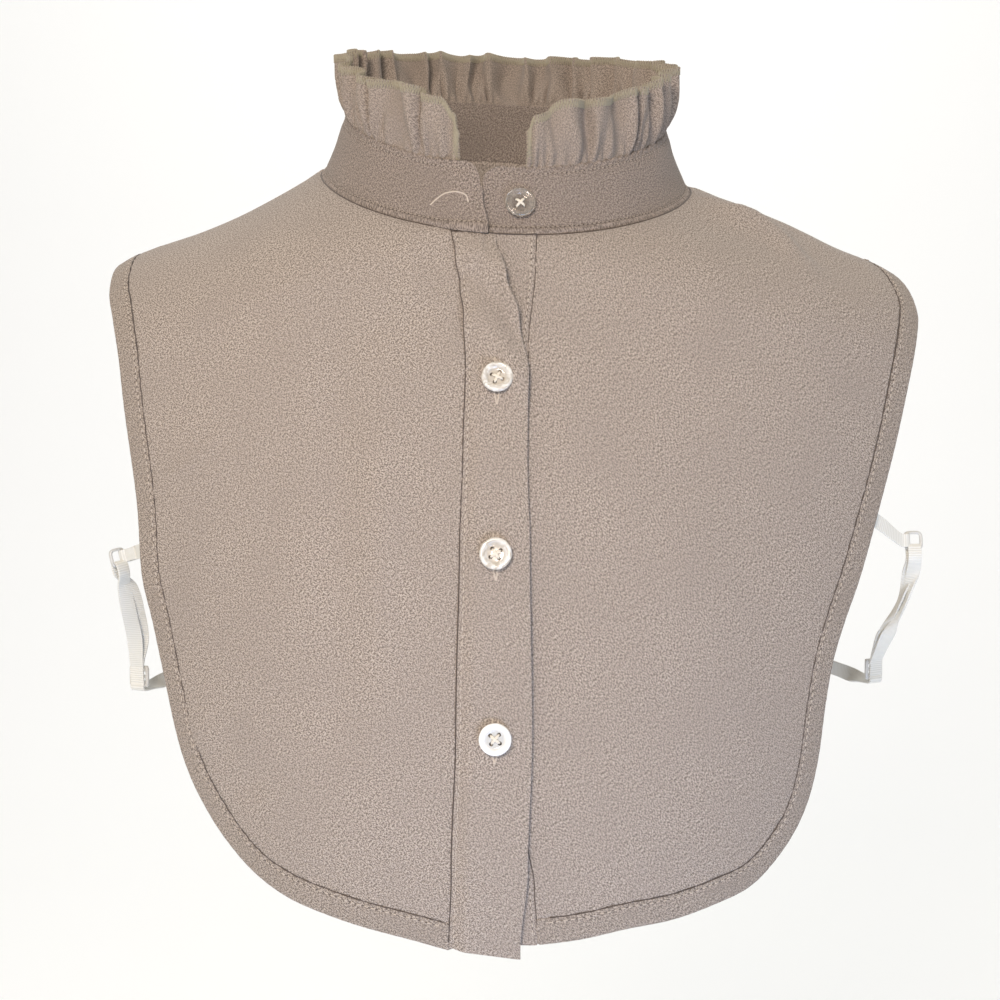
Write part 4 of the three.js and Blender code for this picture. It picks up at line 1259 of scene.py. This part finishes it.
def overlock():
    samples = 3200
    walked = walk([frill_at(*frill_edge(k / samples))[0] for k in range(samples + 1)])
    pitch = 1.05
    count = int(walked[-1] / pitch)
    shares = []
    for k in range(2 * count + 1):
        i, part = step_at(walked, k * pitch / 2)
        shares.append((i + part) / samples)
    print("overlocked edge", round(walked[-1]), "mm,", count, "stitches")
    paths = []
    for face in (1, -1):
        for k in range(0, 2 * count - 1, 2):
            a, b = shares[k], shares[k + 1]
            paths.append(
                [
                    frill_at(*edge_inward(a, 0), face * 0.05)[0],
                    frill_at(*edge_inward(a, 0.25), face * 0.5)[0],
                    frill_at(*edge_inward(b, OVERLOCK_WIDE), face * 0.42)[0],
                    frill_at(*edge_inward(b, OVERLOCK_WIDE + 0.2), face * 0.15)[0],
                ]
            )
            c = shares[min(k + 2, 2 * count)]
            paths.append(
                [
                    frill_at(*edge_inward(b, OVERLOCK_WIDE), face * 0.3)[0],
                    frill_at(*edge_inward(c, 0.2), face * 0.44)[0],
                    frill_at(*edge_inward(c, 0), face * 0.05)[0],
                ]
            )
    return paths


overlocking = threads("overlock_threads", overlock(), 0.25, overlock_thread)
finish_piece(overlocking, [])

# %% [markdown]
# ## Buttons
# A shirt button is cast in resin and turned on a lathe, so it is modelled the same way: half
# its section is drawn, spun once round the axis, and four holes are cut through it.

# %% Button shape
BUTTON_SECTION = [
    (0, 0.1), (3.2, 0), (4.7, 0.25), (5.45, 0.8), (5.75, 1.45), (5.62, 2.0), (5.25, 2.34),
    (4.75, 2.4), (4.2, 2.22), (3.7, 1.85), (3.3, 1.5), (2.9, 1.34), (1.6, 1.3), (0, 1.36),
]  # fmt: skip
HOLE_SPACING, HOLE_RADIUS = 3.0, 0.72


def button_bmesh():
    bm = bmesh.new()
    verts = [bm.verts.new((r, 0, z)) for r, z in BUTTON_SECTION]
    edges = [bm.edges.new(pair) for pair in zip(verts, verts[1:])]
    bmesh.ops.subdivide_edges(bm, edges=edges, cuts=1, smooth=0.6)
    bmesh.ops.spin(
        bm,
        geom=bm.verts[:] + bm.edges[:],
        cent=(0, 0, 0),
        axis=(0, 0, 1),
        angle=math.tau,
        steps=72,
        use_merge=True,
    )
    bmesh.ops.remove_doubles(bm, verts=bm.verts, dist=1e-4)
    bmesh.ops.recalc_face_normals(bm, faces=bm.faces)
    return bm


def cut_holes(body, cutter):
    modifier = body.modifiers.new("Holes", "BOOLEAN")
    modifier.object = cutter
    modifier.operation = "DIFFERENCE"
    modifier.solver = "EXACT"
    graph = bpy.context.evaluated_depsgraph_get()
    mesh = bpy.data.meshes.new_from_object(body.evaluated_get(graph))
    body.modifiers.clear()
    body.data = mesh
    bpy.data.objects.remove(cutter)


def frame_at(spot, normal, twist):
    z = normal.normalized()
    x = Vector((1, 0, 0))
    x = (x - z * x.dot(z)).normalized()
    y = z.cross(x)
    turned = Matrix.Rotation(twist, 4, "Z")
    basis = Matrix((x, y, z)).transposed().to_4x4()
    return Matrix.Translation(spot * MM) @ basis @ turned @ Matrix.Diagonal((MM, MM, MM, 1))


def button(name, node_name, spot, normal, twist, material):
    body = new_object(name, button_bmesh(), material)
    drill = bmesh.new()
    for sx in (-1, 1):
        for sy in (-1, 1):
            made = bmesh.ops.create_cone(
                drill, cap_ends=True, segments=20, radius1=HOLE_RADIUS, radius2=HOLE_RADIUS, depth=8
            )
            shift = (sx * HOLE_SPACING / 2, sy * HOLE_SPACING / 2, 0)
            bmesh.ops.translate(drill, verts=made["verts"], vec=shift)
    cut_holes(body, new_object("drill", drill, material))
    layer = body.data.uv_layers.new(name="Turned")
    for loop in body.data.loops:
        point = body.data.vertices[loop.vertex_index].co
        turn = math.atan2(point.y, point.x) / math.tau
        layer.data[loop.index].uv = (math.hypot(point.x, point.y) * MM, turn)
    body.data.transform(frame_at(spot, normal, twist))
    for polygon in body.data.polygons:
        polygon.use_smooth = True
    body.data.set_sharp_from_angle(angle=math.radians(42))
    return finish_piece(body, [node_name])


def button_sewing(spot, normal, twist):
    """Three strands over each diagonal, down through the holes."""
    place = frame_at(spot, normal, twist)
    paths = []
    far = HOLE_SPACING / 2
    for way in (1, -1):
        for k in (-1, 0, 1):
            side = Vector((way, -1, 0)).normalized().cross(Vector((0, 0, 1))) * 0.3 * k
            top = 1.6 + (0.3 if way > 0 else 0) - 0.05 * abs(k)
            line = [(-far, 0.2), (-far * 0.94, 1.3), (-far * 0.6, top), (0, top + 0.1)]
            line += [(far * 0.6, top), (far * 0.94, 1.3), (far, 0.2)]
            path = [Vector((t * way, -t, z)) + side * (0.6 if abs(t) > far * 0.9 else 1) for t, z in line]
            paths.append([place @ p / MM for p in path])
    return paths


# %% [markdown]
# Three buttons close the button strip. The collar has one too, which is left open. Each sits
# a little proud of the cloth on its sewing thread, and is turned by 6 to 20 degrees.

# %% Place the buttons
BUTTON_ROWS = [
    ("placket_button_1", 0.384, 0.35), ("placket_button_2", 0.566, -0.2), ("placket_button_3", 0.757, 0.1),
]  # fmt: skip
sewing, button_spots = [], []
for row_name, down, twist in BUTTON_ROWS:
    run = down * FRONT_DROP
    x = PLACKET_WIDTH * BUTTON_ACROSS
    v = (x - placket_x(run, SEAM)) / (placket_x(run, EDGE) - placket_x(run, SEAM))
    top, last = lapping_place.runs(v)
    u = (run - top) / (last - top)
    spot, normal = lapping_at(u, v, 0.95)
    finish = pearl_white if row_name.endswith("3") else pearl
    button("shirt_" + row_name[8:], row_name, spot, normal, twist, finish)
    sewing += button_sewing(spot, normal, twist)
    button_spots.append((u, v, run))
band_left, band_right = band_ends(0.45)
button_u = (0.9846 - band_left) / (band_right - band_left)
spot, normal = band_at(button_u, 0.45, 1.3)
button("shirt_button_collar", "collar_button", spot, normal, 0.1, clear_resin)
sewing += button_sewing(spot, normal, 0.1)
sewn = threads("button_sewing", sewing, 0.2, button_thread)
finish_piece(sewn, [])

# %% [markdown]
# ## Buttonholes
# A buttonhole is a slit between two rows of satin stitch. On the button strip the slits run
# down the strip, their rows close to a point below, and only their ends show past the buttons.
# The collar's slit is empty, and only its upper row shows, arched across the band's left end.


# %% Buttonhole threads
def satin(surface, line, lift, wide, pitch=0.42, samples=120):
    """A column of satin stitch, wide mm to both sides of a line of (u, v)."""
    spots = [surface(*line(k / samples), lift) for k in range(samples + 1)]
    walked = walk([spot for spot, _ in spots])
    paths, last = [], None
    for k in range(int(walked[-1] / pitch * 2) + 1):
        i, share = step_at(walked, k * pitch / 2)
        spot = spots[i][0].lerp(spots[i + 1][0], share)
        normal = spots[i][1]
        side = (spots[i + 1][0] - spots[i][0]).cross(normal).normalized()
        outer = spot + side * wide * (1 if k % 2 else -1)
        here = outer - normal * 0.12
        if last is not None:
            paths.append([last, (last + here) / 2 + normal * 0.2, here])
        last = here
    return paths


SLIT_TOP, SLIT_LONG = -6.6, 15.4
holes = []
for u, v, run in button_spots:
    step_u = 1 / (lapping_place.runs(v)[1] - lapping_place.runs(v)[0])
    step_v = 1 / (placket_x(run, EDGE) - placket_x(run, SEAM))
    for side in (-1, 1):
        edge_v = v + side * 0.95 * step_v
        closing = lambda s: v + (edge_v - v) * (1 - 0.9 * ease(0.72, 1, s))
        slit = lambda s: (u + (SLIT_TOP + SLIT_LONG * s) * step_u, closing(s))
        holes += satin(lapping_at, slit, 0.7, 0.3)
HOLE_ARCH = [(0.0624, 0.29), (0.0575, 0.4), (0.0505, 0.5), (0.040, 0.54), (0.031, 0.5), (0.0285, 0.4)]
arch = smooth_line([Vector((turn * 20, v)) for turn, v in HOLE_ARCH])


def arch_line(share):
    spot = arch(share)
    left, right = band_ends(spot.y)
    return (spot.x / 20 - left) / (right - left), spot.y


holes += satin(band_at, arch_line, 0.92, 0.3)
buttonholes = threads("buttonhole_stitching", holes, 0.14, top_thread)
finish_piece(buttonholes, [])

# %% [markdown]
# ## Rings and sliders
# Both are moulded in nylon. The ring is a round rod in the shape of a rounded square, so it is
# drawn as a tube along that line. The slider is a flat plate with two slots: the solid gives
# its place and slots, and a copy of it gets a bevel, as a moulded part has no sharp edge.


# %% The moulded fittings
def moulded_ring(name, node_name, place, size, rod):
    middle = (place["top"] + place["low"]) / 2
    path = []
    for k in range(65):
        c, s = math.cos(k / 64 * math.tau), math.sin(k / 64 * math.tau)
        across, up = (math.copysign(abs(part) ** 0.5, part) * size / 2 for part in (c, s))
        path.append(middle + place["x"] * across + place["y"] * up)
    return finish_piece(threads(name, [path], rod, nylon), [node_name])


def rounded_copy(name, node_name, place, shrink, width):
    """A copy of a solid, drawn in across its ways by the two shares of shrink."""
    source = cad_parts[node_name]
    bm = bmesh.new()
    bm.from_mesh(source.data)
    bmesh.ops.transform(bm, matrix=source.matrix_world, verts=bm.verts)
    bmesh.ops.remove_doubles(bm, verts=bm.verts, dist=1e-6)
    bmesh.ops.dissolve_limit(
        bm, angle_limit=math.radians(1), verts=bm.verts, edges=bm.edges, use_dissolve_boundaries=False
    )
    middle = (place["top"] + place["low"]) / 2 * MM
    for vert in bm.verts:
        away = vert.co - middle
        for way, share in (("x", shrink[0]), ("y", shrink[1])):
            vert.co += place[way] * away.dot(place[way]) * (share - 1)
    obj = new_object(name, bm, nylon)
    bevel = obj.modifiers.new("Moulded edge", "BEVEL")
    bevel.width = width * MM
    bevel.segments = 3
    bevel.limit_method = "ANGLE"
    bevel.angle_limit = math.radians(30)
    return finish_piece(obj, [node_name])


# %% [markdown]
# ## Elastic straps
# Under each arm a folded tab holds the ring to the front's hem, a strap runs from the ring to
# the slider, and a short tab joins the slider to the back's hem. Each is a ribbon of woven
# elastic. It is a grid laid along a smooth line through points that pass round the bars, and
# its width turns from one bar's direction to the next one's.

# %% Places of the rings and sliders
ELASTIC_WIDTH, ELASTIC_THICK = 6, 0.8
RING_SIZE = 6.2
RING_TALL, RING_BAR, SLIDER_TALL, SLIDER_BAR, FITTING_THICK = 8.5, 1.3, 9.4, 1.5, 1.2
STRAPS = {
    "left": {
        "side": -1, "tab_down": 0.45, "back_down": 0.73, "ring": (-147.5, -58, -150),
        "ring_axis": (0.75, -0.6, 0.2), "ring_width": (0.55, 0.8, 0.1),
        "route": [(-146, -55, -161), (-145.5, -50, -172), (-145, -43, -184)],
        "slider": (-145, -36, -200), "slider_axis": (-0.35, -0.93, 0), "slider_width": (0.93, -0.35, 0),
        "second": (2.6, 2.6, 0), "twist": (0.85, 0.5, 0),
    },
    "right": {
        "side": 1, "tab_down": 0.41, "back_down": 0.73, "ring": (156.5, -54, -143),
        "ring_axis": (0.1, -0.95, 0.2), "ring_width": (0.95, 0.1, 0),
        "route": [(157.5, -50, -156), (156.5, -42, -168), (153.5, -30, -180)],
        "slider": (150, -12, -200), "slider_axis": (0.5, -0.85, 0), "slider_width": (0.85, 0.5, 0),
        "second": (-1.6, 2.6, 0), "twist": (0.12, -0.95, 0.25),
    },
}  # fmt: skip


def fitting_frame(spot, along, axis, reach):
    """The three ways of a fitting and the middles of its top and low bars."""
    z = Vector(axis).normalized()
    x = Vector(along)
    x = (x - z * x.dot(z)).normalized()
    y = z.cross(x)
    middle = Vector(spot)
    return {"x": x, "y": y, "z": z, "top": middle + y * reach, "low": middle - y * reach}


def round_bar(bar, away, width, bar_wide):
    """Half a turn round a bar: five points from one side of it to the other."""
    side = away.cross(width).normalized()
    reach = math.hypot(bar_wide, FITTING_THICK) / 2 + 0.2 + ELASTIC_THICK / 2
    angles = [share * math.pi for share in (0, 0.25, 0.5, 0.75, 1)]
    return [bar + side * reach * math.cos(a) + away * reach * math.sin(a) for a in angles]


def behind_hem(curve, run, side):
    """Where an end is sewn behind a hem, the place beside it, and the hem's way there."""
    low, high = (0.0, 1.0)
    rising = curve(1).y > curve(0).y
    for _ in range(30):
        middle = (low + high) / 2
        if (curve(middle).y < run) == rising:
            low = middle
        else:
            high = middle
    flat = curve(low)
    nearby = curve(low + 0.003)
    x = flat.x - side * HEM_WIDTH * 0.45
    spot = drape(x, flat.y)
    along = (drape(nearby.x, nearby.y) - drape(flat.x, flat.y)).normalized()
    square = (drape(x - side, flat.y) - spot).cross(along).normalized()
    if square.dot(spot - CORE) > 0:
        square.negate()
    outward = (spot - drape(x - side, flat.y)).normalized()
    spot += square * 1.5
    return spot, spot + outward * (HEM_WIDTH * 0.45 + ELASTIC_WIDTH / 2), along


# %% [markdown]
# A ribbon is laid like the other cloth, but its width is turned on the way. Its ribs run across
# it, 0.9 mm apart, and stop short of the two selvedges.

# %% Ribbon of elastic
def ribbon(name, node_name, points, widths):
    """A ribbon through points. widths gives the way of its width at some of them, in turn."""
    line = smooth_line(points, even=False)
    marks = walk(points)
    turns = [(marks[index] / marks[-1], way) for index, way in widths]

    def way_at(u):
        if u <= turns[0][0]:
            return turns[0][1]
        for (start, before), (end, after) in zip(turns, turns[1:]):
            if u <= end:
                share = ease(start, end, u)
                width = before.length + (after.length - before.length) * share
                return before.lerp(after, share).normalized() * width
        return turns[-1][1]

    def place(u, v):
        flat = Vector((u * line.length, v * ELASTIC_WIDTH))
        return line(u) + way_at(u) * (v - 0.5) * ELASTIC_WIDTH, flat

    def relief(u, v, flat):
        inner = ease(0.02, 0.14, v) * ease(0.02, 0.14, 1 - v)
        return 0.035 * math.cos(flat.x / 0.9 * math.tau) * inner

    columns = max(40, int(line.length / 0.22))
    obj = cloth(name, columns, 10, place, relief, ELASTIC_THICK, elastic, 0.25)
    return finish_piece(obj, [node_name])


# %% [markdown]
# Now the two sides are put together: first the ring and the slider, then the tab round the
# ring's inner side, the strap round the ring and the slider, and the tab behind.

# %% One strap under each arm
def arm_strap(side_name, strap):
    side = strap["side"]
    front_curve = left_curve if side < 0 else right_curve
    rear_curve = rear_edge(side, LEFT_EDGE if side < 0 else RIGHT_EDGE, REAR_SEAM)
    ring = fitting_frame(strap["ring"], strap["ring_width"], strap["ring_axis"], (RING_TALL - RING_BAR) / 2)
    slider = fitting_frame(
        strap["slider"], strap["slider_width"], strap["slider_axis"], (SLIDER_TALL - SLIDER_BAR) / 2
    )
    moulded_ring("nylon_ring_" + side_name, "ring_" + side_name, ring, RING_SIZE, RING_BAR / 2)
    rounded_copy("nylon_slider_" + side_name, "slider_" + side_name, slider, (0.9, 0.9), 0.4)
    middle = (ring["top"] + ring["low"]) / 2
    ring["low"] = middle - ring["y"] * RING_SIZE / 2
    seat, way_out, along = behind_hem(front_curve, strap["tab_down"] * FRONT_DROP, side)
    outward = ring["x"] if ring["x"].dot(middle - seat) > 0 else -ring["x"]
    over = round_bar(middle - outward * RING_SIZE / 2, outward, ring["y"], RING_BAR)
    if over[0].y > over[4].y:
        over.reverse()
    tab = [seat, way_out, over[0] - outward * 1.5, *over, over[4].lerp(way_out, 0.7)]
    tab_way = -along if along.dot(ring["y"]) < 0 else along
    tab_widths = [(1, tab_way * 0.9), (2, ring["y"] * 0.85), (7, ring["y"] * 0.8)]
    ribbon("elastic_tab_" + side_name, "tab_" + side_name, tab, tab_widths)

    route = [Vector(point) for point in strap["route"]]
    top_loop = round_bar(ring["low"], ring["y"], ring["x"], RING_BAR)
    low_loop = round_bar(slider["top"], -slider["y"], slider["x"], SLIDER_BAR)
    spread = Vector(strap["second"])
    second = [route_point + spread * share for route_point, share in zip(route, (0.7, 1, 0.8))]
    face = slider["z"] * (FITTING_THICK + ELASTIC_THICK) / 2 * 1.15
    tail = [slider["low"] + face, slider["top"] + face * 1.4]
    tail += [*reversed(second), top_loop[0] - ring["y"] * RING_TALL * 0.4]
    line = [*tail, *top_loop, top_loop[4] - ring["y"] * RING_TALL * 0.4, *route, *low_loop]
    twist = Vector(strap["twist"]).normalized()
    near_ring = ring["x"] * 0.85
    widths = [(1, slider["x"]), (3, twist), (5, near_ring), (11, near_ring), (13, twist), (15, slider["x"])]
    ribbon("elastic_strap_" + side_name, "strap_" + side_name, line, widths)

    rear_seat, rear_out, rear_along = behind_hem(rear_curve, -strap["back_down"] * BACK_DROP, side)
    forward = slider["z"].copy()
    if forward.dot(rear_seat - slider["low"]) > 0:
        forward.negate()
    back_loop = round_bar(slider["low"], forward, slider["x"], SLIDER_BAR)
    rear_way = -rear_along if rear_along.dot(slider["x"]) < 0 else rear_along
    back_line = [back_loop[0] - forward * SLIDER_TALL * 0.25, *back_loop]
    back_line += [back_loop[4].lerp(rear_out, 0.3), back_loop[4].lerp(rear_out, 0.65), rear_out, rear_seat]
    upright = Vector((0, 0, 1 if rear_way.z > 0 else -1))
    back_widths = [(5, slider["x"]), (6, upright), (7, upright), (8, rear_way)]
    ribbon("elastic_back_tab_" + side_name, "back_tab_" + side_name, back_line, back_widths)


for side_name, strap in STRAPS.items():
    arm_strap(side_name, strap)

# %% [markdown]
# ## Floor, light and camera
# The studio is plain: a pale floor that rises into a backdrop, and a warm light in front, a
# little to the left and above, as from a window behind the camera. A weaker cool one comes
# from below, as daylight thrown back by a floor, and a wash keeps the backdrop white.


# %% Floor and backdrop
def studio_floor():
    bm = bmesh.new()
    bmesh.ops.create_grid(bm, x_segments=1, y_segments=40, size=0.5)
    for vert in bm.verts:
        across, along = vert.co.x * 9, (vert.co.y + 0.5) * 7
        if along < 4:
            spot = (across, along - 2.6, 0)
        elif along < 5.5:
            angle = (along - 4) / 1.5 * math.pi / 2
            spot = (across, 1.4 + 0.955 * math.sin(angle), 0.955 * (1 - math.cos(angle)))
        else:
            spot = (across, 2.355, 0.955 + (along - 5.5) * 1.6)
        vert.co = Vector(spot) + Vector((0, 0, -0.72))
    material, _, shader = new_material("Painted studio floor", 0.9)
    shader.inputs["Base Color"].default_value = linear("#fcfcfa")
    return new_object("studio_floor", bm, material)


studio_floor()

# %% [markdown]
# Each light is a square area lamp that is turned towards its target, the bib or the backdrop.
# The white world light keeps the shadows open, so that the cloth looks matt and soft.

# %% Lights
bpy.context.scene.view_settings.view_transform = "Standard"
world = bpy.data.worlds.new("Studio")
bpy.context.scene.world = world
world.use_nodes = True
world.node_tree.nodes["Background"].inputs["Color"].default_value = (1, 1, 1, 1)
world.node_tree.nodes["Background"].inputs["Strength"].default_value = 0.62


def softbox(name, spot, target, size, power, colour):
    light = bpy.data.lights.new(name, "AREA")
    light.shape = "SQUARE"
    light.size = size
    light.energy = power
    light.color = linear(colour)[:3]
    holder = bpy.data.objects.new(name, light)
    holder.location = spot
    holder.rotation_euler = (Vector(target) - Vector(spot)).to_track_quat("-Z", "Y").to_euler()
    bpy.context.scene.collection.objects.link(holder)


softbox("window", (-0.28, -1.22, 0.46), (0.01, -0.05, -0.1), 0.4, 12.5, "#ffefe0")
softbox("low fill", (0.24, -0.72, -0.74), (0.02, -0.1, -0.25), 0.5, 7, "#a4c6ff")
softbox("backdrop wash", (0, 0.9, 1.3), (0, 1.9, -0.3), 1.6, 14, "#ffffff")

# %% [markdown]
# The camera stands 0.74 m in front of the neck and looks down by less than five degrees, with
# a lens of short portrait length, so the chest is seen nearly straight on.

# %% Camera
camera = bpy.data.cameras.new("Camera")
camera.sensor_width = 36
camera.lens = 64.8
camera_object = bpy.data.objects.new("Camera", camera)
camera_object.location = (0.017, -0.740, -0.069)
pitch, yaw = math.radians(4.9), math.radians(1.5)
forward = Vector((-math.sin(yaw) * math.cos(pitch), math.cos(yaw) * math.cos(pitch), -math.sin(pitch)))
camera_object.rotation_euler = forward.to_track_quat("-Z", "Y").to_euler()
bpy.context.scene.collection.objects.link(camera_object)
bpy.context.scene.camera = camera_object
